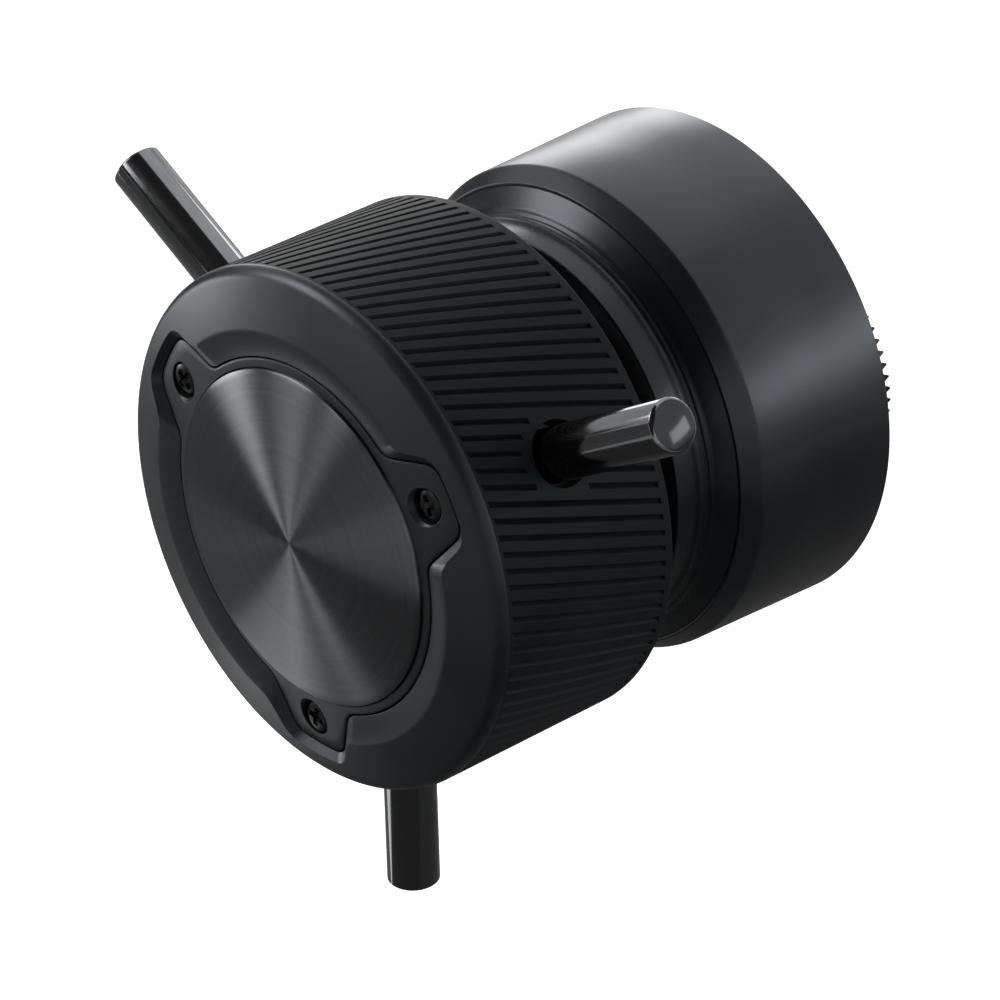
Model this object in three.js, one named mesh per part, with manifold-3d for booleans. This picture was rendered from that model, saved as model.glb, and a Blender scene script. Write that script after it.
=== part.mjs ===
// Focus demand: a three-spoke hand wheel on a ball-bearing shaft that turns a magnet over an
// encoder board, in a drum housing with a toothed mount behind it.
// Millimetres. The wheel faces -Y, +Z is up, and the origin is the centre of the toothed mount's face.
// The pieces are drawn in a forward frame: x to the right, y up, z a station ahead of the mount face.
import * as THREE from 'three';
import { mergeGeometries, mergeVertices } from 'three/addons/utils/BufferGeometryUtils.js';
import Module from 'manifold-3d';

const wasm = await Module();
wasm.setup();

// Clearances
const seatGap = 0.3;
const pressGap = 0.15;
const cutOverrun = 1.5;

// Toothed mount
const mountRadius = 15.875;
const mountTeeth = 60;
const toothDepth = 1.4;
const toothWidth = 5.1;
const mountThickness = 5.2;
const mountLandStep = 0.5;
const mountBoltRadius = 3.0;
const mountBoltClearance = 0.2;
const mountDrop = 7.7;
const mountStandoff = 18;
const insertWall = 1.6;
const insertLength = 9.4;

// Drum shell
const shellRearRadius = 33.17;
const shellTaper = 0.67;
const shellLength = 21.7;
const shellWall = 1.3;
const shellChamferLength = 2.4;
const shellChamferWidth = 1.65;
const shellEdgeLand = 0.1;
const shellLipLength = 1.8;
const shellRearChamfer = 0.35;

// Rear cover
const coverFlangeThickness = 1.7;
const coverThickness = 2.7;
const coverFlangeStep = 0.5;
const coverInset = 0.2;
const coverScrewInset = 3.7;
const coverScrewCount = 4;
const coverScrewStart = 45;
const sealThickness = 0.8;
const sealWidth = 1.95;

// Neck housing
const neckConeLength = 1.55;
const neckBeadLength = 0.35;
const neckBeadDrop = 2.65;
const neckBeadRound = 0.3;
const neckLineWidth = 0.3;
const neckLineDrop = 0.35;
const neckLipWidth = 0.35;
const neckLipRise = 0.1;
const neckRootWidth = 0.4;
const neckRootDrop = 0.35;
const neckEaseWidth = 1.2;
const neckEaseRise = 0.1;
const neckLength = 7.25;
const neckEdgeChamfer = 0.25;
const neckFaceThickness = 3.2;
const neckWall = 2.6;
const pillarRadius = 3.1;
const pillarFloor = 2.5;

// Bearings and shaft
const shaftRadius = 6;
const bearingHeight = 5.85;
const bearingWidth = 6;
const raceThickness = 1.85;
const ballGap = 0.12;
const ballCount = 8;
const cageThickness = 0.8;
const cageWidth = 2.6;
const bearingSpan = 17.8;
const bearingTubeWall = 2.9;
const spacerThickness = 1.6;
const waveHeight = 0.35;
const waveThickness = 0.4;
const waveCount = 3;
const waveRoom = 1.4;
const circlipThickness = 0.8;
const circlipDepth = 0.6;
const circlipGapDegrees = 35;
const shaftTail = 2.3;
const dragRingThickness = 1.4;
const dragRingGap = 1.3;

// Encoder
const magnetRadius = 3;
const magnetLength = 2.5;
const magnetAirGap = 0.8;
const chipSide = 5;
const chipThickness = 1.1;
const boardThickness = 1.6;
const boardEdgeGap = 0.5;
const boardScrewInset = 3.2;
const boardPostRadius = 2.4;

// Sockets for the control leads
const portWidth = 8.94;
const portHeight = 3.26;
const portDepth = 7.4;
const portWall = 0.32;
const portBackWall = 1.2;
const portTongueWidth = 6.69;
const portTongueThickness = 0.7;
const portTongueInset = 0.8;
const portSpacing = 15.2;
const portEdgeInset = 6.1;

// Front plate and disc
const plateRadius = 23.2;
const plateTabLength = 6.67;
const plateTabTipHalfWidth = 4.35;
const plateTabRootHalfWidth = 6.95;
const plateDomeRadius = 141;
const plateEdgeGap = 0.2;
const plateReliefGap = 2.9;
const plateWeb = 0.9;
const plateHeadRoom = 0.57;
const tabCornerLength = 1.7;
const tabRootLength = 1.5;
const discInset = 1.3;
const discThickness = 1;
const discProud = 0.3;
const plateScrewInset = 3.91;

// Recess round the plate: how far its brim stands off the plate's outline
const bevelWidth = 3.4;
const bevelTipWidth = 1.23;
const bevelTabTipWidth = 0.85;
const bevelTabRootWidth = 0.8;

// Focus wheel
const wheelGap = 7.4;
const rimWidth = 3.1;
const cavityDepth = 21.25;
const faceRise = 2.2;
const wheelFillet = 2;
const wheelRearChamfer = 0.45;
const wheelWall = 3.8;
const faceDomeRadius = 105;
const webThickness = 4.4;
const webHoleGap = 0.6;
const grooveCount = 102;
const grooveWidth = 0.8;
const grooveDepth = 0.5;
const grooveHelixDegrees = 19.2;
const grooveStepLength = 8.5;
const grooveFrontMargin = 0.1;
const grooveRearMargin = 1.3;
const smoothZoneWidth = 1.45;

// Spokes and hub
const spokeCount = 3;
const spokeReach = 22.9;
const spokeRadius = 3.4;
const spokeChamfer = 0.45;
const spokeDomeRise = 0.45;
const spokeHoleGap = 0.75;
const spokeRootGap = 2;
const spokeShankLength = 3;
const spokeShankRadius = 2.4;
const hubScrewGap = 2.9;
const hubEdgeWidth = 4.5;
const hubNoseDrop = 0.3;

// Screws: shank radius, head radius, head thickness, length under the head, width of the cross
const smallScrew = { shank: 1.2, head: 2.1, headThickness: 1.1, length: 5.2, cross: 0.42 };
const plateScrew = { shank: 1.2, head: 2.1, headThickness: 1.0, length: 4.6, cross: 0.42 };
const coverScrew = { shank: 1.4, head: 2.5, headThickness: 1.3, length: 12, cross: 0.5 };
const hubScrew = { shank: 1.4, head: 2.6, headThickness: 2.2, length: 9, cross: 0.55 };
const boardScrew = { shank: 0.95, head: 1.8, headThickness: 1.0, length: 4.2, cross: 0.36 };
const shaftScrew = { shank: 2.4, head: 4.2, headThickness: 3.2, length: 13, cross: 0.8 };
const crossLengthShare = 1.25;
const screwHoleGap = 0.25;
const plateScrewSink = 0.35;
const washerThickness = 1.2;
const washerWidth = 2;
const setScrewRadius = 2;
const setScrewLength = 6.5;

// Facets round a full turn, steps along short curves, and places round the shaft in degrees
const wheelFacets = grooveCount;
const drumFacets = 40;
const ringFacets = 26;
const rodFacets = 20;
const smallFacets = 10;
const ballFacets = 5;
const ballRows = 4;
const domeRings = 3;
const arcSteps = 3;
const bendSteps = 3;
const bayArcSteps = 9;
const fullTurn = 360;
const wheelAngles = [30, 150, 270];
const gapAngles = [90, 210, 330];

// Radii of the mount and the drum
const toothInnerRadius = mountRadius - toothWidth;
const mountLandDepth = toothDepth + mountLandStep;
const mountHoleRadius = mountBoltRadius + mountBoltClearance;
const mountScrewCircle = (mountHoleRadius + toothInnerRadius) / 2;
const insertRadius = mountBoltRadius + insertWall;
const shellFrontRadius = shellRearRadius - shellTaper;
const shellBoreRadius = shellFrontRadius - shellWall;
const shellLipRadius = shellFrontRadius - shellChamferWidth - shellEdgeLand;
const housingRadius = shellBoreRadius - seatGap;
const housingBoreRadius = housingRadius - neckWall;
const coverFlangeRadius = housingRadius + coverFlangeStep;
const coverScrewCircle = housingRadius - coverScrewInset;
const collarRadius = shellLipRadius - seatGap;
const neckBeadRadius = collarRadius - neckBeadDrop;
const neckLineRadius = neckBeadRadius - neckLineDrop;
const neckRootRadius = neckLineRadius + neckLipRise - neckRootDrop;
const neckRadius = neckRootRadius + neckEaseRise;
const boardRadius = coverScrewCircle - pillarRadius - boardEdgeGap;
const boardScrewCircle = boardRadius - boardScrewInset;

// Radii of the shaft, its bearings and the hub
const shaftSeatRadius = shaftRadius + pressGap;
const bearingRadius = shaftSeatRadius + bearingHeight;
const innerRaceRadius = shaftSeatRadius + raceThickness;
const outerRaceRadius = bearingRadius - raceThickness;
const ballCircle = (innerRaceRadius + outerRaceRadius) / 2;
const ballRadius = (outerRaceRadius - innerRaceRadius) / 2 - ballGap;
const tubeBoreRadius = bearingRadius + pressGap;
const tubeRadius = tubeBoreRadius + bearingTubeWall;
const clipSeatRadius = tubeBoreRadius + circlipDepth;
const hubNoseRadius = innerRaceRadius - hubNoseDrop;
const washerRadius = shaftRadius + washerWidth;
const webHoleRadius = washerRadius + webHoleGap;
const hubScrewCircle = webHoleRadius + hubScrewGap;
const hubRadius = hubScrewCircle + hubEdgeWidth;
const spokeShankEnd = shaftRadius + spokeRootGap;
const spokeSeatRadius = spokeShankEnd + spokeShankLength;

// Radii of the wheel and its face
const plateTipRadius = plateRadius + plateTabLength;
const plateScrewCircle = plateTipRadius - plateScrewInset;
const plateReliefRadius = hubScrewCircle + hubScrew.head + plateReliefGap;
const discRadius = plateRadius - discInset;
const recessRadius = plateRadius + bevelWidth;
const recessTipRadius = plateTipRadius + bevelTipWidth;
const wheelRadius = recessTipRadius + rimWidth;
const skirtRadius = wheelRadius - wheelWall;
const spokeHoleRadius = spokeRadius + spokeHoleGap;
const smoothZoneRadius = spokeHoleRadius + smoothZoneWidth;
const grooveTwist = Math.tan(radians(grooveHelixDegrees)) / wheelRadius;
const spokeTipRadius = wheelRadius + spokeReach;

// Stations of the drum and what it holds, ahead of the mount face
const bossRear = mountThickness + seatGap;
const drumRear = mountStandoff;
const drumShoulder = drumRear + shellLength;
const drumFront = drumShoulder + shellChamferLength;
const neckFront = drumFront + neckLength;
const coverRear = drumRear + coverInset;
const coverFront = coverRear + coverThickness;
const sealRear = coverFront + seatGap;
const housingRear = sealRear + sealThickness + seatGap;
const coverScrewEnd = coverRear + coverScrew.headThickness + coverScrew.length;
const boardRear = coverRear + portDepth + seatGap;
const boardFront = boardRear + boardThickness;
const boardScrewEnd = boardFront + pressGap - boardScrew.length;
const chipRear = boardFront + pressGap;
const magnetRear = chipRear + chipThickness + magnetAirGap;
const shaftRear = magnetRear + magnetLength + pressGap;
const rearBearingRear = shaftRear + shaftTail;
const frontBearingRear = rearBearingRear + bearingSpan;
const tubeRear = rearBearingRear - pressGap;
const shoulderRear = rearBearingRear + bearingWidth + waveRoom;
const shoulderFront = frontBearingRear - seatGap;
const noseRear = frontBearingRear + bearingWidth + seatGap;
const tubeFront = noseRear + circlipThickness + 2 * seatGap;
const dragRear = tubeFront + seatGap;
const mountScrewTop = mountLandDepth + pressGap;
const mountScrewEnd = mountScrewTop + smallScrew.headThickness + smallScrew.length;

// Stations of the wheel
const wheelRear = neckFront + wheelGap;
const webRear = wheelRear + cavityDepth;
const recessFloor = webRear + webThickness;
const plateBottom = recessFloor + seatGap;
const reliefTop = plateBottom + hubScrew.headThickness + plateHeadRoom;
const seatApex = reliefTop + plateWeb + domeFall(plateDomeRadius, plateReliefRadius);
const discApex = seatApex + seatGap + discThickness;
const plateApex = discApex - discProud;
const wheelApex = plateApex + faceRise;
const wheelSideFront = filletCentre().station;
const grooveRear = wheelRear + grooveRearMargin;
const grooveFront = wheelSideFront - grooveFrontMargin;
const spokeStation = (grooveRear + grooveFront) / 2;
const plateScrewTop = plateApex - domeFall(plateDomeRadius, plateScrewCircle) - plateScrewSink;
const hubRear = dragRear + dragRingThickness + seatGap;
const hubFront = webRear - seatGap;
const washerRear = hubFront + seatGap;
const shaftFront = hubFront - seatGap;
const hubScrewTop = plateBottom + hubScrew.headThickness;
const shaftScrewTop = washerRear + washerThickness + seatGap + shaftScrew.headThickness;

function radians(degrees) {
  return (degrees * Math.PI) / 180;
}

function polar(radius, degrees) {
  return new THREE.Vector2(radius * Math.cos(radians(degrees)), radius * Math.sin(radians(degrees)));
}

// How far a dome has fallen at a distance from its axis
function domeFall(domeRadius, radius) {
  return domeRadius - Math.sqrt(domeRadius * domeRadius - radius * radius);
}

// Centre of the round edge that joins the wheel's side to its domed face
function filletCentre() {
  const radius = wheelRadius - wheelFillet;
  const reach = faceDomeRadius - wheelFillet;
  return { radius, station: wheelApex - faceDomeRadius + Math.sqrt(reach * reach - radius * radius) };
}

function solid(geometry) {
  const bare = geometry.index ? geometry.clone() : geometry;
  bare.deleteAttribute('normal');
  bare.deleteAttribute('uv');
  const merged = mergeVertices(bare);
  const mesh = new wasm.Mesh({
    numProp: 3,
    vertProperties: new Float32Array(merged.attributes.position.array),
    triVerts: new Uint32Array(merged.index.array),
  });
  return new wasm.Manifold(mesh);
}

function geometryOf(manifold) {
  const mesh = manifold.getMesh();
  const geometry = new THREE.BufferGeometry();
  geometry.setAttribute('position', new THREE.BufferAttribute(new Float32Array(mesh.vertProperties), 3));
  geometry.setIndex(new THREE.BufferAttribute(new Uint32Array(mesh.triVerts), 1));
  geometry.computeVertexNormals();
  return geometry;
}

// A turned shape from [radius, station] points that close on themselves, wound either way
function turned(points, facets) {
  let area = 0;
  points.forEach(([radius, station], index) => {
    const [nextRadius, nextStation] = points[(index + 1) % points.length];
    area += radius * nextStation - nextRadius * station;
  });
  const ordered = area > 0 ? points : [...points].reverse();
  const profile = [...ordered, ordered[0]].map(([radius, station]) => new THREE.Vector2(radius, station));
  return solid(new THREE.LatheGeometry(profile, facets).rotateX(Math.PI / 2));
}

function tube(innerRadius, outerRadius, rear, front, facets) {
  return turned([[innerRadius, rear], [outerRadius, rear], [outerRadius, front], [innerRadius, front]],
    facets);
}

function disc(radius, rear, front, facets) {
  return solid(new THREE.CylinderGeometry(radius, radius, front - rear, facets).rotateX(Math.PI / 2)
    .translate(0, 0, (front + rear) / 2));
}

// A round bar that lies across the shaft, from one distance to another along an angle
function radialBar(radius, start, end, degrees, station, facets) {
  const bar = new THREE.CylinderGeometry(radius, radius, end - start, facets);
  bar.rotateZ(-Math.PI / 2).translate((start + end) / 2, 0, 0);
  return solid(bar.rotateZ(radians(degrees)).translate(0, 0, station));
}

function prism(shape, rear, front, curveSegments) {
  const options = { depth: front - rear, bevelEnabled: false, curveSegments };
  return solid(new THREE.ExtrudeGeometry(shape, options).translate(0, 0, rear));
}

// Closed skin through rings of equal count; the ends are capped, or the last ring meets the first
function lofted(rings, loops) {
  const count = rings[0].length;
  const positions = rings.flat().flatMap((point) => [point.x, point.y, point.z]);
  const indices = [];
  const bands = loops ? rings.length : rings.length - 1;
  for (let band = 0; band < bands; band += 1) {
    const near = band * count;
    const far = ((band + 1) % rings.length) * count;
    for (let step = 0; step < count; step += 1) {
      const next = (step + 1) % count;
      indices.push(near + step, near + next, far + next, near + step, far + next, far + step);
    }
  }
  if (!loops) {
    capRing(rings[0], 0, positions, indices, true);
    capRing(rings[rings.length - 1], (rings.length - 1) * count, positions, indices, false);
  }
  const geometry = new THREE.BufferGeometry();
  geometry.setAttribute('position', new THREE.Float32BufferAttribute(positions, 3));
  geometry.setIndex(indices);
  return geometry;
}

function capRing(ring, first, positions, indices, facesBack) {
  const centre = ring.reduce((sum, point) => sum.add(point), new THREE.Vector3()).divideScalar(ring.length);
  const middle = positions.length / 3;
  positions.push(centre.x, centre.y, centre.z);
  ring.forEach((_, step) => {
    const next = (step + 1) % ring.length;
    if (facesBack) indices.push(middle, first + next, first + step);
    else indices.push(middle, first + step, first + next);
  });
}

// Outline of a disc with three tapered tabs, as points round a full turn with softened corners
function tabbedOutline(radius, tipRadius, tipHalfWidth, rootHalfWidth, grow = 0) {
  const base = radius + grow;
  const tip = tipRadius + grow;
  const tipAngle = Math.asin((tipHalfWidth + grow) / tip);
  const rootAngle = Math.asin((rootHalfWidth + grow) / base);
  const tipArc = tipAngle - tabCornerLength / tip;
  const baseArc = rootAngle + tabRootLength / base;
  const at = (distance, angle) => new THREE.Vector2(distance * Math.cos(angle), distance * Math.sin(angle));
  const bend = (from, corner, to) => new THREE.QuadraticBezierCurve(from, corner, to).getPoints(bendSteps);
  const arc = (distance, from, to, steps) => new THREE.EllipseCurve(0, 0, distance, distance, from, to)
    .getPoints(steps).slice(1, -1);
  return wheelAngles.flatMap((degrees) => {
    const axis = radians(degrees);
    const nextAxis = axis + (2 * Math.PI) / spokeCount;
    const lowRoot = at(base, axis - rootAngle);
    const lowTip = at(tip, axis - tipAngle);
    const highTip = at(tip, axis + tipAngle);
    const highRoot = at(base, axis + rootAngle);
    const along = (from, to, length) => from.clone().lerp(to, length / from.distanceTo(to));
    return [
      ...bend(at(base, axis - baseArc), lowRoot, along(lowRoot, lowTip, tabRootLength)),
      ...bend(along(lowTip, lowRoot, tabCornerLength), lowTip, at(tip, axis - tipArc)),
      ...arc(tip, axis - tipArc, axis + tipArc, bendSteps),
      ...bend(at(tip, axis + tipArc), highTip, along(highTip, highRoot, tabCornerLength)),
      ...bend(along(highRoot, highTip, tabRootLength), highRoot, at(base, axis + baseArc)),
      ...arc(base, axis + baseArc, nextAxis - baseArc, bayArcSteps),
    ];
  });
}

// Cross-recessed screw along z: its head's top is at the station and looks forward, or back when facing is -1
function screw(sizes, headStation, facing) {
  const under = headStation - facing * sizes.headThickness;
  const end = under - facing * sizes.length;
  const slotDepth = sizes.headThickness / 2;
  const middle = headStation - facing * slotDepth;
  const head = disc(sizes.head, Math.min(headStation, under), Math.max(headStation, under), smallFacets);
  const shank = disc(sizes.shank, Math.min(middle, end), Math.max(middle, end), smallFacets);
  const slot = (width, height) => solid(new THREE.BoxGeometry(width, height, 2 * slotDepth)
    .translate(0, 0, headStation));
  const long = sizes.head * crossLengthShare;
  return head.add(shank).subtract(slot(long, sizes.cross)).subtract(slot(sizes.cross, long));
}

function capsule(width, height) {
  const round = height / 2;
  const half = width / 2 - round;
  const shape = new THREE.Shape();
  shape.moveTo(-half, -round);
  shape.lineTo(half, -round);
  shape.absarc(half, 0, round, -Math.PI / 2, Math.PI / 2, false);
  shape.lineTo(-half, round);
  shape.absarc(-half, 0, round, Math.PI / 2, (3 * Math.PI) / 2, false);
  return shape;
}

const finishes = {
  wheelBlack: { color: 0x2a2b2d, roughness: 0.55, metalness: 0.1 },
  drumBlack: { color: 0x3a3c3e, roughness: 0.45, metalness: 0.3 },
  plateBlack: { color: 0x2e3033, roughness: 0.4, metalness: 0.2 },
  spunGrey: { color: 0x9a9c9e, roughness: 0.3, metalness: 0.9 },
  polished: { color: 0xc8ccd0, roughness: 0.08, metalness: 1 },
  steel: { color: 0x9b9da0, roughness: 0.35, metalness: 1 },
  blackSteel: { color: 0x26272a, roughness: 0.4, metalness: 0.8 },
  aluminium: { color: 0xa9acaf, roughness: 0.4, metalness: 0.9 },
  brass: { color: 0xb08d4a, roughness: 0.35, metalness: 1 },
  felt: { color: 0x57534c, roughness: 0.95, metalness: 0 },
  rubber: { color: 0x1b1b1c, roughness: 0.8, metalness: 0 },
  board: { color: 0x1f5a36, roughness: 0.5, metalness: 0.1 },
  chip: { color: 0x161718, roughness: 0.5, metalness: 0 },
  magnet: { color: 0x6f7276, roughness: 0.3, metalness: 1 },
};

const focusDemand = new THREE.Group();
const forward = new THREE.Group();
forward.rotation.set(Math.PI / 2, 0, 0);
focusDemand.add(forward);
const onShaft = new THREE.Group();
onShaft.position.set(0, mountDrop, 0);
const onMount = new THREE.Group();
forward.add(onShaft, onMount);

function place(name, shape, finish, parent = onShaft, x = 0, y = 0) {
  const mesh = new THREE.Mesh(geometryOf(shape), new THREE.MeshStandardMaterial(finishes[finish]));
  mesh.name = name;
  mesh.position.set(x, y, 0);
  parent.add(mesh);
}

function placeRound(name, angles, radius, shape, finish, parent = onShaft) {
  angles.forEach((degrees, index) => {
    const spot = polar(radius, degrees);
    place(`${name}_${index + 1}`, shape, finish, parent, spot.x, spot.y);
  });
}

// Outer side and domed face of the wheel with the cavity behind it, before its recess and grooves
function wheelBlank() {
  const edge = filletCentre();
  const leanAngle = Math.asin(edge.radius / (faceDomeRadius - wheelFillet));
  const points = [[0, wheelRear], [wheelRadius - wheelRearChamfer, wheelRear],
    [wheelRadius, wheelRear + wheelRearChamfer]];
  for (let step = 0; step <= arcSteps; step += 1) {
    const angle = (step / arcSteps) * (Math.PI / 2 - leanAngle);
    points.push([edge.radius + wheelFillet * Math.cos(angle), edge.station + wheelFillet * Math.sin(angle)]);
  }
  const faceRing = recessRadius - seatGap;
  const faceTop = wheelApex - domeFall(faceDomeRadius, faceRing);
  points.push([faceRing, faceTop], [0, faceTop]);
  return turned(points, wheelFacets)
    .subtract(disc(skirtRadius, wheelRear - cutOverrun, webRear, drumFacets))
    .subtract(disc(webHoleRadius, wheelRear - cutOverrun, wheelApex, rodFacets));
}

// Cutter for the plate's recess: straight up to the plate's edge, then flared to the face
function recessCutter() {
  const low = tabbedOutline(plateRadius, plateTipRadius, plateTabTipHalfWidth, plateTabRootHalfWidth,
    plateEdgeGap);
  const high = tabbedOutline(recessRadius, recessTipRadius, plateTabTipHalfWidth + bevelTabTipWidth,
    plateTabRootHalfWidth + bevelTabRootWidth);
  const floor = low.map((point) => new THREE.Vector3(point.x, point.y, recessFloor));
  const lip = low.map((point) => new THREE.Vector3(point.x, point.y,
    plateApex - domeFall(plateDomeRadius, point.length())));
  const brim = high.map((point) => new THREE.Vector3(point.x, point.y,
    wheelApex - domeFall(faceDomeRadius, point.length())));
  const past = brim.map((point, index) => point.clone().addScaledVector(
    point.clone().sub(lip[index]), cutOverrun));
  const above = past.map((point) => new THREE.Vector3(point.x, point.y, wheelApex + cutOverrun));
  return solid(lofted([floor, lip, past, above], false));
}

// One V groove's cutter between two stations, winding round the wheel at the grip's helix angle
function grooveCutter(angle, rear, front) {
  const corners = [[0, wheelRadius - grooveDepth], [-grooveWidth, wheelRadius + grooveDepth],
    [grooveWidth, wheelRadius + grooveDepth]];
  const steps = Math.max(1, Math.round((front - rear) / grooveStepLength));
  return lofted(Array.from({ length: steps + 1 }, (_, step) => {
    const station = rear + ((front - rear) * step) / steps;
    const wound = angle + (station - spokeStation) * grooveTwist;
    return corners.map(([across, out]) => {
      const turn = wound + across / wheelRadius;
      return new THREE.Vector3(out * Math.cos(turn), out * Math.sin(turn), station);
    });
  }), false);
}

// Grooves all round the wheel, broken off round each spoke's hole
function gripCutters() {
  const cutters = [];
  const sector = (2 * Math.PI) / spokeCount;
  const lean = grooveTwist * wheelRadius;
  const leanSquare = 1 + lean * lean;
  for (let index = 0; index < grooveCount; index += 1) {
    const fromSpoke = (index * 2 * Math.PI) / grooveCount;
    const angle = radians(wheelAngles[0]) + fromSpoke;
    const aside = (fromSpoke - sector * Math.round(fromSpoke / sector)) * wheelRadius;
    const room = leanSquare * smoothZoneRadius * smoothZoneRadius - aside * aside;
    if (room > 0) {
      const middle = spokeStation - (aside * lean) / leanSquare;
      const half = Math.sqrt(room) / leanSquare;
      cutters.push(grooveCutter(angle, grooveRear, middle - half));
      cutters.push(grooveCutter(angle, middle + half, grooveFront));
    } else {
      cutters.push(grooveCutter(angle, grooveRear, grooveFront));
    }
  }
  return solid(mergeGeometries(cutters));
}

function focusWheel() {
  let wheel = wheelBlank().subtract(recessCutter()).subtract(gripCutters());
  const throughWeb = (screwSizes, circle, degrees) => {
    const spot = polar(circle, degrees);
    return disc(screwSizes.shank + screwHoleGap, webRear - cutOverrun, recessFloor + cutOverrun, smallFacets)
      .translate([spot.x, spot.y, 0]);
  };
  wheelAngles.forEach((degrees) => {
    wheel = wheel.subtract(radialBar(spokeHoleRadius, skirtRadius - cutOverrun, wheelRadius + cutOverrun,
      degrees, spokeStation, rodFacets)).subtract(throughWeb(plateScrew, plateScrewCircle, degrees));
  });
  gapAngles.forEach((degrees) => {
    wheel = wheel.subtract(throughWeb(hubScrew, hubScrewCircle, degrees));
  });
  return wheel;
}

function domedCap(apex, domeRadius, radius, rear, facets) {
  const points = [[0, rear], [radius, rear]];
  for (let step = domeRings; step > 0; step -= 1) {
    const distance = (radius * step) / domeRings;
    points.push([distance, apex - domeFall(domeRadius, distance)]);
  }
  points.push([0, apex]);
  return turned(points, facets);
}

function frontPlate() {
  const outline = new THREE.Shape(tabbedOutline(plateRadius, plateTipRadius, plateTabTipHalfWidth,
    plateTabRootHalfWidth));
  const headFloor = plateScrewTop - plateScrew.headThickness - seatGap;
  const reach = recessTipRadius + cutOverrun;
  const seatRadius = discRadius + plateEdgeGap;
  const seat = domedCap(seatApex, plateDomeRadius, seatRadius, reliefTop - cutOverrun, ringFacets);
  const room = disc(seatRadius, reliefTop - cutOverrun, plateApex + cutOverrun, ringFacets);
  let plate = prism(outline, plateBottom, plateApex, 1)
    .intersect(domedCap(plateApex, plateDomeRadius, reach, plateBottom - cutOverrun, ringFacets))
    .subtract(room.subtract(seat))
    .subtract(disc(plateReliefRadius, plateBottom - cutOverrun, reliefTop, ringFacets));
  wheelAngles.forEach((degrees) => {
    const spot = polar(plateScrewCircle, degrees);
    const head = disc(plateScrew.head + screwHoleGap, headFloor, plateApex + cutOverrun, smallFacets);
    const shank = disc(plateScrew.shank + screwHoleGap, plateBottom - cutOverrun, plateApex, smallFacets);
    plate = plate.subtract(head.add(shank).translate([spot.x, spot.y, 0]));
  });
  return plate;
}

function spunDisc() {
  const points = [[0, discApex - discThickness]];
  for (let step = 1; step <= domeRings; step += 1) {
    const distance = (discRadius * step) / domeRings;
    points.push([distance, discApex - discThickness - domeFall(plateDomeRadius, distance)]);
  }
  for (let step = domeRings; step > 0; step -= 1) {
    const distance = (discRadius * step) / domeRings;
    points.push([distance, discApex - domeFall(plateDomeRadius, distance)]);
  }
  points.push([0, discApex]);
  return turned(points, drumFacets);
}

// A polished rod with a stepped-down threaded end and a slightly domed tip, drawn along x
function spoke() {
  const seat = spokeSeatRadius + seatGap;
  const domeEdge = spokeRadius - spokeChamfer;
  const domeRadius = (domeEdge * domeEdge + spokeDomeRise * spokeDomeRise) / (2 * spokeDomeRise);
  const profile = [[0, spokeShankEnd], [spokeShankRadius, spokeShankEnd], [spokeShankRadius, seat],
    [spokeRadius, seat], [spokeRadius, spokeTipRadius - spokeDomeRise - spokeChamfer],
    [domeEdge, spokeTipRadius - spokeDomeRise],
    [domeEdge / 2, spokeTipRadius - domeFall(domeRadius, domeEdge / 2)], [0, spokeTipRadius]];
  return turned(profile, rodFacets).rotate([0, 90, 0]);
}

function spokeHub() {
  let hub = turned([[shaftSeatRadius, noseRear], [hubNoseRadius, noseRear], [hubNoseRadius, hubRear],
    [hubRadius, hubRear], [hubRadius, hubFront], [shaftSeatRadius, hubFront]], ringFacets);
  wheelAngles.forEach((degrees) => {
    const socket = radialBar(spokeRadius + pressGap, spokeSeatRadius, hubRadius + cutOverrun, degrees,
      spokeStation, rodFacets);
    const thread = radialBar(spokeShankRadius + pressGap, spokeShankEnd - seatGap,
      spokeSeatRadius + cutOverrun, degrees, spokeStation, smallFacets);
    hub = hub.subtract(socket.add(thread));
  });
  gapAngles.forEach((degrees) => {
    const spot = polar(hubScrewCircle, degrees);
    hub = hub.subtract(disc(hubScrew.shank + screwHoleGap, plateBottom - hubScrew.length - seatGap,
      hubFront + cutOverrun, smallFacets).translate([spot.x, spot.y, 0]));
  });
  return hub.subtract(radialBar(setScrewRadius + pressGap, shaftRadius, hubRadius + cutOverrun, gapAngles[0],
    spokeStation, smallFacets));
}

function shaft() {
  const grooveRadius = shaftRadius - circlipDepth;
  const clipFront = tubeRear;
  const clipRear = clipFront - 2 * pressGap - circlipThickness;
  const bar = turned([[0, shaftRear], [shaftRadius, shaftRear], [shaftRadius, clipRear],
    [grooveRadius, clipRear], [grooveRadius, clipFront], [shaftRadius, clipFront], [shaftRadius, shaftFront],
    [0, shaftFront]], ringFacets);
  const end = shaftScrewTop - shaftScrew.headThickness - shaftScrew.length;
  return bar.subtract(disc(shaftScrew.shank + pressGap, end - seatGap, shaftFront + cutOverrun, smallFacets));
}

// A snap ring with an opening in one side
function circlip(innerRadius, outerRadius, rear) {
  const half = radians(circlipGapDegrees) / 2;
  const shape = new THREE.Shape();
  shape.absarc(0, 0, outerRadius, half, 2 * Math.PI - half, false);
  shape.absarc(0, 0, innerRadius, 2 * Math.PI - half, half, true);
  return prism(shape, rear, rear + circlipThickness, rodFacets / 2);
}

function race(innerRadius, outerRadius, rear) {
  return tube(innerRadius, outerRadius, rear, rear + bearingWidth, ringFacets);
}

function ballCage(rear) {
  const middle = rear + bearingWidth / 2;
  let cage = tube(ballCircle - cageThickness / 2, ballCircle + cageThickness / 2, middle - cageWidth / 2,
    middle + cageWidth / 2, 2 * ballCount);
  for (let index = 0; index < ballCount; index += 1) {
    const spot = polar(ballCircle, (index * fullTurn) / ballCount);
    cage = cage.add(solid(new THREE.SphereGeometry(ballRadius, ballFacets, ballRows))
      .translate([spot.x, spot.y, middle]));
  }
  return cage;
}

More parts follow.
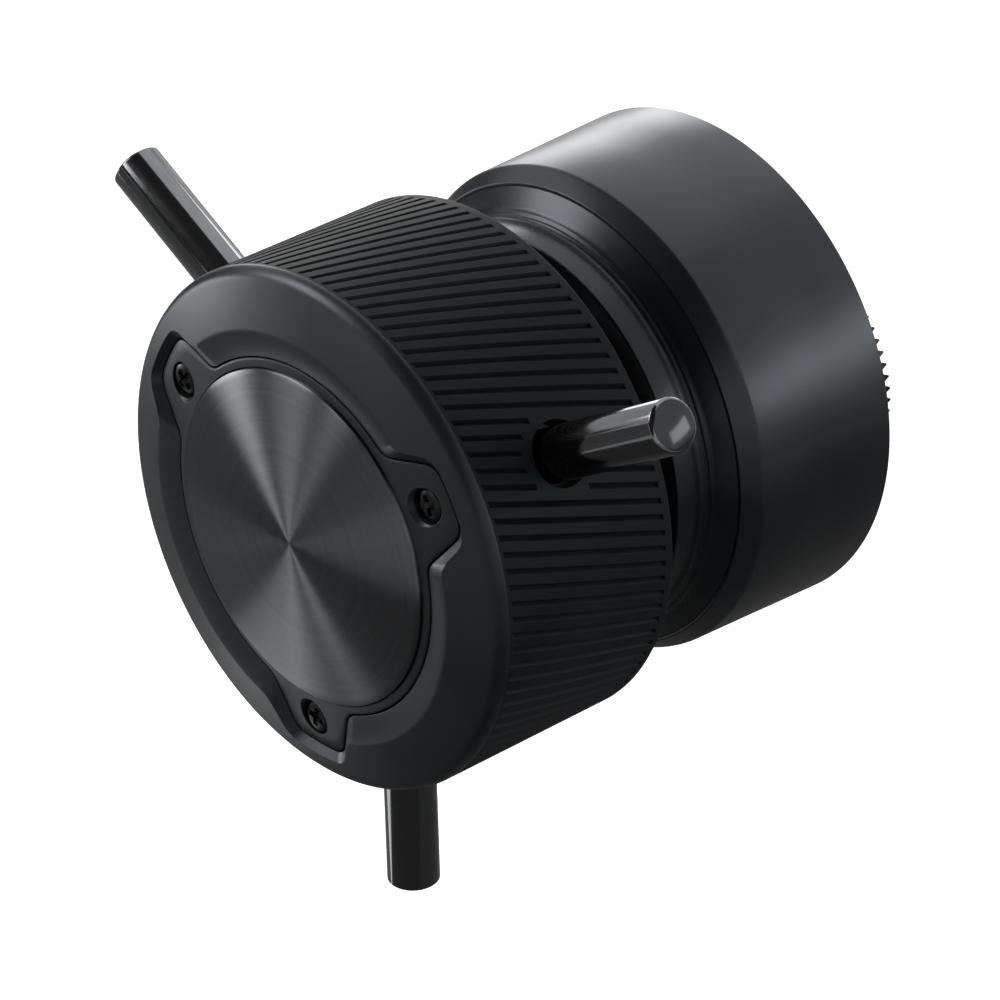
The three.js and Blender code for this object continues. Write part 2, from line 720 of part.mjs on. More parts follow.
function waveWasher() {
  const inner = outerRaceRadius + seatGap;
  const outer = bearingRadius - seatGap;
  const middle = rearBearingRear + bearingWidth + waveRoom / 2;
  const ring = (radius, lift) => Array.from({ length: ringFacets }, (_, step) => {
    const angle = (step * 2 * Math.PI) / ringFacets;
    return new THREE.Vector3(radius * Math.cos(angle), radius * Math.sin(angle),
      middle + lift + (waveHeight / 2) * Math.cos(angle * waveCount));
  });
  const half = waveThickness / 2;
  return solid(lofted([ring(inner, half), ring(inner, -half), ring(outer, -half), ring(outer, half)], true));
}

// Cup with the stepped neck ahead of it and the bearing tube down its middle
function neckHousing() {
  const lipRear = drumFront - shellLipLength - seatGap;
  const beadRear = drumFront + neckConeLength;
  const beadFront = beadRear + neckBeadLength;
  const lineFront = beadFront + neckLineWidth;
  const lipFront = lineFront + neckLipWidth;
  const rootFront = lipFront + neckRootWidth;
  const outside = [[housingBoreRadius, housingRear], [housingRadius, housingRear], [housingRadius, lipRear],
    [collarRadius, lipRear], [collarRadius, drumFront], [neckBeadRadius + neckBeadRound, beadRear],
    [neckBeadRadius, beadFront], [neckLineRadius, lineFront], [neckLineRadius + neckLipRise, lipFront],
    [neckRootRadius, rootFront], [neckRadius, rootFront + neckEaseWidth],
    [neckRadius, neckFront - neckEdgeChamfer], [neckRadius - neckEdgeChamfer, neckFront],
    [tubeRadius, neckFront], [tubeRadius, tubeFront]];
  const bore = [[clipSeatRadius, tubeFront], [clipSeatRadius, noseRear - pressGap],
    [tubeBoreRadius, noseRear - pressGap], [tubeBoreRadius, shoulderFront], [outerRaceRadius, shoulderFront],
    [outerRaceRadius, shoulderRear], [tubeBoreRadius, shoulderRear], [tubeBoreRadius, tubeRear]];
  const inside = [[tubeRadius, tubeRear], [tubeRadius, neckFront - neckFaceThickness],
    [neckRadius - neckWall, neckFront - neckFaceThickness],
    [housingBoreRadius, drumFront - neckFaceThickness]];
  let housing = turned([...outside, ...bore, ...inside], drumFacets);
  const within = disc(housingRadius - seatGap, housingRear, tubeFront, drumFacets);
  for (let index = 0; index < coverScrewCount; index += 1) {
    const spot = coverScrewSpot(index);
    const pillar = disc(pillarRadius, housingRear, coverScrewEnd + seatGap + pillarFloor, smallFacets);
    const hole = disc(coverScrew.shank + screwHoleGap, housingRear - cutOverrun, coverScrewEnd + seatGap,
      smallFacets);
    housing = housing.add(pillar.translate([spot.x, spot.y, 0]).intersect(within))
      .subtract(hole.translate([spot.x, spot.y, 0]));
  }
  return housing;
}

function coverScrewSpot(index) {
  return polar(coverScrewCircle, coverScrewStart + (index * fullTurn) / coverScrewCount);
}

function drumShell() {
  const ledge = coverRear + coverFlangeThickness + seatGap;
  return turned([[coverFlangeRadius + seatGap, drumRear], [shellRearRadius - shellRearChamfer, drumRear],
    [shellRearRadius, drumRear + shellRearChamfer], [shellFrontRadius, drumShoulder],
    [shellLipRadius + shellEdgeLand, drumFront], [shellLipRadius, drumFront],
    [shellLipRadius, drumFront - shellLipLength], [shellBoreRadius, drumFront - shellLipLength],
    [shellBoreRadius, ledge], [coverFlangeRadius + seatGap, ledge]], drumFacets);
}

function portSpots() {
  return [-1, 1].map((side) => new THREE.Vector2((side * portSpacing) / 2, boardRadius - portEdgeInset));
}

// Flanged disc with the mount's boss behind it and the board's posts ahead of it
function rearCover() {
  let cover = turned([[0, coverRear], [coverFlangeRadius, coverRear],
    [coverFlangeRadius, coverRear + coverFlangeThickness], [housingRadius, coverRear + coverFlangeThickness],
    [housingRadius, coverFront], [0, coverFront]], drumFacets);
  cover = cover.add(disc(mountRadius, bossRear, coverRear + coverFlangeThickness, drumFacets)
    .translate([0, -mountDrop, 0]));
  gapAngles.forEach((degrees) => {
    const spot = polar(boardScrewCircle, degrees);
    const post = disc(boardPostRadius, coverRear + coverFlangeThickness, boardRear - pressGap, smallFacets);
    const hole = disc(boardScrew.shank + pressGap, boardScrewEnd - pressGap, boardRear + cutOverrun,
      smallFacets);
    cover = cover.add(post.translate([spot.x, spot.y, 0])).subtract(hole.translate([spot.x, spot.y, 0]));
    const mountSpot = polar(mountScrewCircle, degrees);
    cover = cover.subtract(disc(smallScrew.shank + screwHoleGap, bossRear - cutOverrun,
      mountScrewEnd + seatGap, smallFacets).translate([mountSpot.x, mountSpot.y - mountDrop, 0]));
  });
  cover = cover.subtract(disc(insertRadius + pressGap, bossRear - cutOverrun,
    bossRear + insertLength + 2 * seatGap, ringFacets).translate([0, -mountDrop, 0]));
  for (let index = 0; index < coverScrewCount; index += 1) {
    const spot = coverScrewSpot(index);
    const head = disc(coverScrew.head + screwHoleGap, coverRear - cutOverrun,
      coverRear + coverScrew.headThickness + pressGap, smallFacets);
    const shank = disc(coverScrew.shank + screwHoleGap, coverRear, coverFront + cutOverrun, smallFacets);
    cover = cover.subtract(head.add(shank).translate([spot.x, spot.y, 0]));
  }
  portSpots().forEach((spot) => {
    cover = cover.subtract(prism(capsule(portWidth + 2 * pressGap, portHeight + 2 * pressGap),
      coverRear - cutOverrun, coverFront + cutOverrun, arcSteps).translate([spot.x, spot.y, 0]));
  });
  return cover;
}

// Ring of radial teeth round a sunk flat land, with a through hole for the clamping bolt
function toothedMount() {
  const count = mountTeeth * 2;
  const ring = (radius, height) => Array.from({ length: count }, (_, step) => {
    const angle = (step * 2 * Math.PI) / count;
    const rise = (step % 2 === 0 ? 1 : -1) * (radius / mountRadius) * (toothDepth / 2);
    const station = height ?? toothDepth / 2 - rise;
    return new THREE.Vector3(radius * Math.cos(angle), radius * Math.sin(angle), station);
  });
  const teeth = solid(lofted([ring(toothInnerRadius, mountThickness), ring(toothInnerRadius),
    ring(mountRadius), ring(mountRadius, mountThickness)], true));
  let mount = teeth.add(tube(mountHoleRadius, toothInnerRadius + seatGap, mountLandDepth, mountThickness,
    ringFacets));
  gapAngles.forEach((degrees) => {
    const spot = polar(mountScrewCircle, degrees);
    const head = disc(smallScrew.head + screwHoleGap, mountLandDepth - cutOverrun,
      mountScrewTop + smallScrew.headThickness + pressGap, smallFacets);
    const shank = disc(smallScrew.shank + screwHoleGap, mountLandDepth, mountThickness + cutOverrun,
      smallFacets);
    mount = mount.subtract(head.add(shank).translate([spot.x, spot.y, 0]));
  });
  return mount;
}

// Socket with a hollow mouth at the back and a contact tongue standing in it
function leadSocket() {
  const mouthEnd = coverRear + portDepth - portBackWall;
  const mouth = prism(capsule(portWidth - 2 * portWall, portHeight - 2 * portWall), coverRear - cutOverrun,
    mouthEnd, arcSteps);
  const tongueRear = coverRear + portTongueInset;
  const tongueFront = mouthEnd + portBackWall / 2;
  const tongue = solid(new THREE.BoxGeometry(portTongueWidth, portTongueThickness, tongueFront - tongueRear)
    .translate(0, 0, (tongueFront + tongueRear) / 2));
  return prism(capsule(portWidth, portHeight), coverRear, coverRear + portDepth, arcSteps)
    .subtract(mouth).add(tongue);
}

function encoderBoard() {
  let board = disc(boardRadius, boardRear, boardFront, drumFacets);
  gapAngles.forEach((degrees) => {
    const spot = polar(boardScrewCircle, degrees);
    board = board.subtract(disc(boardScrew.shank + screwHoleGap, boardRear - cutOverrun,
      boardFront + cutOverrun, smallFacets).translate([spot.x, spot.y, 0]));
  });
  return board;
}

function buildWheelPieces() {
  place('focus_wheel', focusWheel(), 'wheelBlack');
  place('front_plate', frontPlate(), 'plateBlack');
  place('spun_disc', spunDisc(), 'spunGrey');
  placeRound('plate_screw', wheelAngles, plateScrewCircle, screw(plateScrew, plateScrewTop, 1), 'blackSteel');
  wheelAngles.forEach((degrees, index) => {
    const rod = spoke().rotate([0, 0, degrees]).translate([0, 0, spokeStation]);
    place(`spoke_${index + 1}`, rod, 'polished');
  });
  place('spoke_hub', spokeHub(), 'aluminium');
  placeRound('hub_screw', gapAngles, hubScrewCircle, screw(hubScrew, hubScrewTop, 1), 'blackSteel');
  place('hub_set_screw', radialBar(setScrewRadius, shaftSeatRadius, shaftSeatRadius + setScrewLength,
    gapAngles[0], spokeStation, smallFacets), 'blackSteel');
  place('shaft', shaft(), 'steel');
  place('shaft_washer', tube(shaftScrew.shank + screwHoleGap, washerRadius, washerRear,
    washerRear + washerThickness, ringFacets), 'steel');
  place('shaft_screw', screw(shaftScrew, shaftScrewTop, 1), 'blackSteel');
  place('inner_spacer', tube(shaftSeatRadius, shaftSeatRadius + spacerThickness,
    rearBearingRear + bearingWidth + seatGap, shoulderFront, ringFacets), 'aluminium');
  place('rear_bearing_inner', race(shaftSeatRadius, innerRaceRadius, rearBearingRear), 'steel');
  place('front_bearing_inner', race(shaftSeatRadius, innerRaceRadius, frontBearingRear), 'steel');
  place('shaft_circlip', circlip(shaftSeatRadius - circlipDepth, innerRaceRadius - pressGap,
    tubeRear - pressGap - circlipThickness), 'blackSteel');
  place('encoder_magnet', disc(magnetRadius, magnetRear, magnetRear + magnetLength, ringFacets), 'magnet');
}

function buildBodyPieces() {
  place('body_shell', drumShell(), 'drumBlack');
  place('neck_housing', neckHousing(), 'drumBlack');
  place('rear_cover', rearCover(), 'drumBlack');
  const sealRadius = housingRadius - pressGap;
  place('rear_seal', tube(sealRadius - sealWidth, sealRadius, sealRear, sealRear + sealThickness, drumFacets),
    'rubber');
  for (let index = 0; index < coverScrewCount; index += 1) {
    const spot = coverScrewSpot(index);
    const turnedIn = screw(coverScrew, coverRear, -1);
    place(`rear_cover_screw_${index + 1}`, turnedIn, 'blackSteel', onShaft, spot.x, spot.y);
  }
  place('rear_bearing_outer', race(outerRaceRadius, bearingRadius, rearBearingRear), 'steel');
  place('front_bearing_outer', race(outerRaceRadius, bearingRadius, frontBearingRear), 'steel');
  place('rear_bearing_balls', ballCage(rearBearingRear), 'brass');
  place('front_bearing_balls', ballCage(frontBearingRear), 'brass');
  place('wave_washer', waveWasher(), 'steel');
  place('bearing_circlip', circlip(outerRaceRadius + pressGap, clipSeatRadius - pressGap, noseRear),
    'blackSteel');
  place('drag_ring', tube(hubNoseRadius + dragRingGap, tubeRadius - seatGap, dragRear,
    dragRear + dragRingThickness, ringFacets), 'felt');
  place('encoder_board', encoderBoard(), 'board');
  place('encoder_chip', solid(new THREE.BoxGeometry(chipSide, chipSide, chipThickness)
    .translate(0, 0, chipRear + chipThickness / 2)), 'chip');
  placeRound('board_screw', gapAngles, boardScrewCircle,
    screw(boardScrew, boardFront + pressGap + boardScrew.headThickness, 1), 'steel');
  portSpots().forEach((spot, index) => {
    place(`lead_socket_${index + 1}`, leadSocket(), 'steel', onShaft, spot.x, spot.y);
  });
}

function buildMountPieces() {
  place('mount_rosette', toothedMount(), 'blackSteel', onMount);
  placeRound('rosette_screw', gapAngles, mountScrewCircle, screw(smallScrew, mountScrewTop, -1), 'blackSteel',
    onMount);
  place('threaded_insert', tube(mountBoltRadius, insertRadius, bossRear + seatGap,
    bossRear + seatGap + insertLength, ringFacets), 'brass', onMount);
}

buildWheelPieces();
buildBodyPieces();
buildMountPieces();

export default focusDemand;
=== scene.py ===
import math

import bmesh
import bpy
from mathutils import Matrix, Vector


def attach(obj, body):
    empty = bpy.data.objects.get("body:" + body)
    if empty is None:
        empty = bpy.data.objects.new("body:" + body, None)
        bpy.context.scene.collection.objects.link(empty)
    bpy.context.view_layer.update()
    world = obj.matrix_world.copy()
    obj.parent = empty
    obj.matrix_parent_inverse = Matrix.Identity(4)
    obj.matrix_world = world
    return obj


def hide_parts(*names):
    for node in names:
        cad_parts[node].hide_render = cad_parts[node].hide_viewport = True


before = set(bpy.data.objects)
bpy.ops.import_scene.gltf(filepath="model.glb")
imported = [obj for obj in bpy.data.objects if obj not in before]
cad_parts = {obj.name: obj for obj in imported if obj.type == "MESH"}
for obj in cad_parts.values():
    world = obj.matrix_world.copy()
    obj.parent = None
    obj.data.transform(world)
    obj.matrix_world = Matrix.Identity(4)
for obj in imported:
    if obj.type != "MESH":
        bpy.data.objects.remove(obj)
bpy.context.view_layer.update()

MM = 0.001
AXIS = 7.7
TURN = 2 * math.pi
SPOKE_ANGLES = [math.radians(degrees) for degrees in (30, 150, 270)]
GAP_ANGLES = [math.radians(degrees) for degrees in (90, 210, 330)]

# Stations ahead of the mount's tooth crests, in millimetres
DRUM_REAR = 18.0
COVER_REAR = 18.2
DRUM_SHOULDER = 39.7
DRUM_FRONT = 42.1
NECK_FRONT = 49.35
WHEEL_REAR = 56.75
GROOVE_REAR = 58.05
SPOKE_STATION = 70.7
WEB_REAR = 78.0
RECESS_FLOOR = 82.4
PLATE_BOTTOM = 82.7
GROOVE_FRONT = 83.34
FACE_REAR = 83.6
PLATE_APEX = 88.4
DISC_APEX = 88.695
WHEEL_APEX = 90.6

# The wheel and its grooves, in millimetres
WHEEL_RADIUS = 34.2
FACE_DOME = 105.0
FACE_INNER = 26.0
FACE_STEPS = 12
WHEEL_BORE = 8.6
WHEEL_FILLET = 2.0
RIM_STEPS = 408
RIM_INNER = 29.2
RIM_INNER_FILLET = 1.2
RIM_REAR_INNER = 30.4
RIM_CHAMFER = 0.3
RIM_REAR_LAND = 0.45
RIM_REAR_ROUND = 0.4
GROOVES = 102
GROOVE_WIDTH = 0.8
GROOVE_DEPTH = 0.52
GROOVE_STEP = 1.6
GROOVE_LEAN = math.tan(math.radians(19.2))
SMOOTH_ZONE = 5.6
REAR_SLOPE = 0.12
FRONT_SLOPE = 0.7
BREAK_SLOPE = 0.3

# The plate, its recess and the disc, in millimetres
PLATE_DOME = 141.0
PLATE_RADIUS = 23.2
TAB_TIP = 29.87
TAB_TIP_HALF = 4.35
TAB_ROOT_HALF = 6.95
TAB_STEPS = 8
ARC_STEPS = 60
PLATE_GAP = 0.2
PLATE_EDGE = 0.12
PLATE_EDGE_MIDDLE = 0.04
PLATE_EDGE_DROP = 0.14
PLATE_SEAT = 22.1
PLATE_SEAT_DEPTH = 0.9
PLATE_BORE = 17.0
PLATE_BORE_DEPTH = 1.0
RECESS_RADIUS = 26.6
RECESS_TAB_TIP = 31.1
RECESS_TIP_HALF = 5.2
RECESS_ROOT_HALF = 7.75
RECESS_LIP_DROP = 0.05
RECESS_PAST_SHARE = 1.5
DISC_RADIUS = 21.9
DISC_REAR_RADIUS = 21.7
DISC_TOP_RADIUS = 21.84
DISC_DEPTH = 0.98
DISC_STEPS = 26

# The disc's rim as (how far in, how far down)
DISC_RIM = [(0, 0.8), (0, 0.06), (0.02, 0.02)]

# The screws' counterbores in the plate as (radius, rise over the plate)
COUNTERBORE = [(0, -1.65), (2.35, -1.65), (2.35, -0.12), (2.49, 0.05), (3.4, 1.2), (0, 1.2)]

# Screws as (head radius, head thickness, shank radius, length under the head, width of the cross)
PLATE_SCREW = (2.1, 1.0, 1.2, 4.6, 0.42)
COVER_SCREW = (2.5, 1.3, 1.4, 12, 0.5)
ROSETTE_SCREW = (2.1, 1.1, 1.2, 5.2, 0.42)
PLATE_SCREW_DROP = 0.3
PLATE_SCREW_TURN = 0.35
PLATE_SCREW_TURN_STEP = 0.5
COVER_SCREW_TURN = 0.2
COVER_SCREW_TURN_STEP = 0.6
ROSETTE_SCREW_TURN_STEP = 0.4
ROSETTE_SCREW_TOP = 2.05

# A screw's rounded head as (share of its radius, drop), and its cross as (depth, length and width shares)
SCREW_HEAD = [(0, 0), (0.55, 0.02), (0.82, 0.10), (0.95, 0.24), (1, 0.42)]
CROSS_TAPER = [(0.35, 0.72, 1.15), (-0.30, 0.60, 1.0)]
CROSS_DEPTH_SHARE = 0.62
CROSS_BOTTOM = (0.22, 0.7)
CORNERS = ((-1, -1), (1, -1), (1, 1), (-1, 1))

# Screw circles and holes, in millimetres
PLATE_SCREW_CIRCLE = 25.96
HUB_SCREW_CIRCLE = 11.5
COVER_SCREW_CIRCLE = 27.2
BOARD_SCREW_CIRCLE = 20.4
ROSETTE_SCREW_CIRCLE = 6.99
COVER_SCREW_ANGLES = [math.radians(45 + 90 * index) for index in range(4)]
THREAD_HOLE = 1.1
SMALL_HOLE = 1.45
LARGE_HOLE = 1.65
CUT_PAST = 2
PLATE_CUT_PAST = 1

# How many steps round a piece, and the angle in degrees from which an edge is sharp
FINE_STEPS = 256
BOSS_STEPS = 192
ROUND_STEPS = 128
BORE_STEPS = 96
SEAT_STEPS = 64
SCREW_STEPS = 48
POST_STEPS = 40
PILLAR_STEPS = 32
HOLE_STEPS = 24
CAPSULE_STEPS = 12
FILLET_STEPS = 12
EDGE_STEPS = 5
EDGE_START = -80
SHARP = 30
DRUM_SHARP = 25
ROSETTE_SHARP = 20
FLAT_RADIUS = 1e-6

# The rods and their hub: lengths out from the shaft, and outlines as (radius, distance), in millimetres
ROD_TIP = 57.1
ROD_DOME_RADIUS = 3.03
ROD_DOME_RISE = 0.5
ROD_DOME_STEPS = 12
ROD_FOOT = [(0, 8.0), (2.4, 8.0), (2.4, 11.3), (3.1, 11.3), (3.4, 11.6)]
ROD_EDGE = [(3.4, 0.86), (3.37, 0.77), (3.29, 0.69), (3.17, 0.59)]
ROD_HOLE = 4.15
ROD_HOLE_REACH = (28.0, 36.0)
HUB_ROD_HOLE = 3.55
HUB_ROD_REACH = (11.0, 18.0)
HUB_THREAD_HOLE = 2.55
HUB_THREAD_REACH = (7.7, 12.0)
HUB_SCREW_REACH = (73.4, 79.0)
SET_SCREW_HOLE = 2.15
SET_SCREW_REACH = (6.0, 18.0)
HUB_OUTLINE = [(6.15, 58.6), (7.5, 58.6), (7.7, 58.8), (7.7, 62.0), (15.5, 62.0), (16.0, 62.5), (16.0, 77.2),
               (15.5, 77.7), (6.15, 77.7)]

# The shell's outline as (radius, station), or as (radius, rise over the station that it is used with)
SHELL_REAR = [(31.7, 0.2), (31.9, 0), (32.82, 0)]
SHELL_ROUND_CENTRE = 32.87
SHELL_ROUND = 0.3
SHELL_SIDE = [(33.0, 24.0), (32.78, 30.5)]
SHELL_SHOULDER = [(32.52, -0.35), (32.46, -0.12), (32.33, 0.14), (32.15, 0.40)]
SHELL_LIP = [(30.98, -0.12), (30.91, -0.03), (30.84, 0), (30.52, 0), (30.5, -0.05)]
SHELL_INSIDE = [(30.5, 40.3), (31.2, 40.3), (31.2, 20.2), (31.7, 20.2)]

# The neck's outline as (radius, station): the collar, the ridge with its line, the front and the bearing tube
NECK_COLLAR = [(28.3, 22.3), (30.9, 22.3), (30.9, 40.0), (30.45, 40.0), (30.45, 42.08), (30.36, 42.16),
               (28.26, 43.54), (28.1, 43.67)]
NECK_RIDGE = [(27.96, 43.82), (27.86, 43.97), (27.78, 44.08), (27.66, 44.17), (27.53, 44.24), (27.46, 44.31),
              (27.45, 44.39), (27.5, 44.48), (27.54, 44.58), (27.52, 44.68), (27.43, 44.8), (27.31, 44.93),
              (27.23, 45.07), (27.2, 45.3), (27.22, 45.7), (27.27, 46.1), (27.3, 46.5)]
NECK_RADIUS = 27.3
NECK_ROUND = 0.25
NECK_FRONT_INNER = 15.6
NECK_TUBE = [(15.05, 49.7), (15.05, 59.7), (14.75, 60.0), (12.75, 60.0), (12.75, 58.45), (12.15, 58.45),
             (12.15, 52.0), (10.15, 52.0), (10.15, 41.9), (12.15, 41.9), (12.15, 34.35), (15.05, 34.35),
             (15.05, 46.15), (24.7, 46.15), (28.3, 38.9)]
PILLAR_RADIUS = 3.1
PILLAR_REAR = 22.3
PILLAR_FRONT = 34.3
PILLAR_CAP = 1.5

# The rear cover, its boss, the sockets and the mount, in millimetres; outlines as (radius, station)
COVER_OUTLINE = [(0, COVER_REAR), (31.1, COVER_REAR), (31.4, COVER_REAR + 0.3), (31.4, 19.9), (30.9, 19.9),
                 (30.9, 20.9), (0, 20.9)]
BOSS_OUTLINE = [(0, 5.5), (15.55, 5.5), (15.875, 5.8), (15.875, 17.6), (16.1, 18.0), (16.4, 18.4),
                (16.4, 19.5), (0, 19.5)]
POST_RADIUS = 2.4
POST_REACH = (19.5, 25.75)
POST_HOLE_REACH = (23.3, 27.4)
BOSS_SCREW_REACH = (4.0, 8.65)
INSERT_HOLE = 4.75
INSERT_REACH = (4.0, 15.5)
INSERT_OUTLINE = [(3.0, 6.1), (3.3, 5.8), (4.4, 5.8), (4.6, 6.0), (4.6, 15.2), (3.0, 15.2)]
COVER_HEAD_HOLE = 2.75
COVER_HEAD_DEPTH = 1.45
COVER_PAST = 1.5
MOUTH_FRONT = 22.4
MOUTH_SIZE = (9.24, 3.56)
SOCKET_SPOTS = [(-7.6, 17.5), (7.6, 17.5)]
TEETH = 60
TOOTH_RISE = 0.7
TOOTH_PLACES = (-0.07, 0.07, 0.43, 0.57)
TOOTH_CRESTS = (0, 1)
ROSETTE_RADIUS = 15.875
ROSETTE_HEAD_HOLE = 2.35
ROSETTE_HEAD_REACH = (0.5, 3.3)
ROSETTE_SCREW_REACH = (1.0, 6.0)

# A socket's rings as (width, height, station) and its tongue's as (station, width, height)
SOCKET_RINGS = [(8.94, 3.26, 25.6), (8.94, 3.26, 18.25), (8.80, 3.12, 18.2), (8.40, 2.72, 18.2),
                (8.30, 2.62, 18.3), (8.30, 2.62, 24.4)]
TONGUE_RINGS = [(19.0, 6.5, 0.5), (19.2, 6.69, 0.7), (24.6, 6.69, 0.7)]

# The rosette's rings as (radius, station); where there is no station, the teeth give it
ROSETTE_RINGS = [(15.7, 5.2), (15.875, 5.05), (15.875, None), (10.8, None), (10.8, 1.9), (3.4, 1.9),
                 (3.2, 2.1), (3.2, 5.2)]

# The camera: azimuth, elevation and roll in degrees, lengths in millimetres
CAMERA_ANGLES = (48.2232, 29.2063, -1.5303)
CAMERA_OFFSET = (-26.4495, -19.0518)
CAMERA_DISTANCE = 720.09
CAMERA_TARGET = (0, -18.0, 7.7)
SENSOR_WIDTH = 36
FOCAL_PIXELS = 5586.2
PICTURE_PIXELS = 1000
CLIP_START = 0.05
CLIP_END = 20

# The cool tint of the black paints' gloss
SPECULAR_TINT = (0.84, 0.91, 1.0, 1)

# Light and floor, in metres: lamps as (name, place, target, width, power, height)
WORLD_LIGHT = 0.35
FLOOR_HALF = 3.0
FLOOR_LEVEL = -0.30
FLOOR_GLOW = 0.55
LAMPS = [
    ("key", (-0.55, -0.50, 0.52), (0, -0.05, 0), 0.42, 5.5, 0.42),
    ("top", (-0.30, 0.35, 0.85), (0, -0.05, 0), 0.9, 1.6, 0.9),
    ("back_left", (-0.80, 0.55, 0.22), (0, -0.03, 0), 0.5, 2.4, 0.45),
    ("right", (0.70, 0.50, 0.18), (0, -0.03, 0), 0.6, 1.5, 0.24),
    ("left", (-0.84, -0.42, -0.07), (0, -0.05, 0), 0.28, 2.0, 0.24),
]

# Cards over the floor as (name, low corner, high corner, level, glow)
LEVEL_CARDS = [
    ("card_below", (-0.17, -0.10), (0.62, 0.62), -0.28, 0.08),
    ("card_below_front", (-0.37, -0.60), (0.62, -0.09), -0.28, 0.05),
    ("card_below_left", (-0.62, -0.12), (-0.16, 0.62), -0.285, 0.12),
    ("card_front_left", (-1.6, -1.6), (-0.36, 0.15), -0.27, 0.18),
    ("card_glow_below", (-0.33, -0.30), (-0.235, -0.11), -0.265, 2.0),
]

# Cards that face the object as (name, centre, width, height, glow)
FACING_CARDS = [
    ("card_far_left", (-1.0, -1.15, 0.02), 1.2, 0.5, 0.18),
    ("card_left", (-1.10, -0.12, 0.04), 1.34, 0.56, 0.03),
    ("card_streak_front", (-0.452, -0.979, 0.121), 0.13, 0.30, 4.5),
    ("card_streak_back", (-0.324, 0.839, 0.341), 0.22, 0.30, 4.5),
]
OVER_CARD = [(-0.8, 0.10, 1.05), (0.95, 0.10, 1.05), (0.95, -1.25, 0.1), (-0.8, -1.25, 0.1)]
OVER_CARD_GLOW = 0.04


def dome_fall(dome_radius, radius):
    return dome_radius - math.sqrt(dome_radius * dome_radius - radius * radius)


def face_station(radius):
    return WHEEL_APEX - dome_fall(FACE_DOME, radius)


def plate_station(radius):
    return PLATE_APEX - dome_fall(PLATE_DOME, radius)


def at(radius, angle, station, centre=AXIS):
    return Vector((radius * math.cos(angle), -station, radius * math.sin(angle) + centre)) * MM


# Mesh making


def mesh_object(name, points, faces, sharp=SHARP):
    mesh = bpy.data.meshes.new(name)
    mesh.from_pydata([tuple(point) for point in points], [], faces)
    piece = bpy.data.objects.new(name, mesh)
    bpy.context.scene.collection.objects.link(piece)
    face_outward(piece)
    smooth(piece, sharp)
    return piece


def face_outward(piece):
    shape = bmesh.new()
    shape.from_mesh(piece.data)
    bmesh.ops.recalc_face_normals(shape, faces=shape.faces)
    shape.to_mesh(piece.data)
    shape.free()


def smooth(piece, sharp=SHARP):
    piece.data.shade_smooth()
    piece.data.set_sharp_from_angle(angle=math.radians(sharp))


def turned(name, profile, segments, centre=AXIS, phase=0.0, sharp=SHARP):
    """Revolves a closed outline of (radius, station) points round the shaft or the mount's axis."""
    points = []
    rings = []
    for radius, station in profile:
        start = len(points)
        if radius < FLAT_RADIUS:
            points.append(at(0, 0, station, centre))
            rings.append([start] * segments)
            continue
        points.extend(at(radius, phase + TURN * step / segments, station, centre) for step in range(segments))
        rings.append([start + step for step in range(segments)])
    faces = []
    for near, far in zip(rings, rings[1:] + rings[:1]):
        if near[0] == near[1] and far[0] == far[1]:
            continue
        for step in range(segments):
            nxt = (step + 1) % segments
            face = [near[step], near[nxt], far[nxt], far[step]]
            faces.append([corner for index, corner in enumerate(face) if corner not in face[:index]])
    return mesh_object(name, points, faces, sharp)


def lofted(name, rings, loops=False, sharp=SHARP):
    """Skins rings of equal count; the end rings become flat faces unless the skin loops."""
    count = len(rings[0])
    points = [point for ring in rings for point in ring]
    faces = []
    for band in range(len(rings) if loops else len(rings) - 1):
        near = band * count
        far = ((band + 1) % len(rings)) * count
        for step in range(count):
            nxt = (step + 1) % count
            faces.append([near + step, near + nxt, far + nxt, far + step])
    if not loops:
        faces.append(list(range(count)))
        faces.append([(len(rings) - 1) * count + step for step in range(count)])
    return mesh_object(name, points, faces, sharp)


def apply_modifiers(piece):
    graph = bpy.context.evaluated_depsgraph_get()
    mesh = bpy.data.meshes.new_from_object(piece.evaluated_get(graph))
    piece.modifiers.clear()
    old = piece.data
    piece.data = mesh
    bpy.data.meshes.remove(old)


def remove(piece):
    mesh = piece.data
    bpy.data.objects.remove(piece)
    bpy.data.meshes.remove(mesh)


def combine(piece, others, operation, sharp=SHARP):
    for other in others:
        modifier = piece.modifiers.new("combine", "BOOLEAN")
        modifier.operation = operation
        modifier.solver = "EXACT"
        modifier.object = other
    apply_modifiers(piece)
    for other in others:
        remove(other)
    smooth(piece, sharp)
    return piece


def cut(piece, others, sharp=SHARP):
    return combine(piece, others, "DIFFERENCE", sharp)


def joined(name, pieces):
    """One mesh object from several, without welding them."""
    shape = bmesh.new()
    for piece in pieces:
        shape.from_mesh(piece.data)
    mesh = bpy.data.meshes.new(name)
    shape.to_mesh(mesh)
    shape.free()
    for piece in pieces:
        remove(piece)
    result = bpy.data.objects.new(name, mesh)
    bpy.context.scene.collection.objects.link(result)
    return result


def moved(piece, matrix):
    piece.data.transform(matrix)
    return piece


def shift_to(spot, centre=AXIS):
    """The shift from the mount's axis to a spot beside the shaft."""
    return Matrix.Translation(Vector((spot[0], 0, spot[1] + centre)) * MM)


def bar(name, radius, start, end, angle, station, segments=64):
    """A round bar that lies across the shaft, from one distance to another."""
    along = Vector((math.cos(angle), 0, math.sin(angle)))
    across = Vector((-math.sin(angle), 0, math.cos(angle)))
    centre = Vector((0, -station, AXIS))
    rings = []
    for distance in (start, end):
        rings.append([(centre + along * distance + across * (radius * math.cos(TURN * step / segments))
                       + Vector((0, radius * math.sin(TURN * step / segments), 0))) * MM
                      for step in range(segments)])
    return lofted(name, rings)


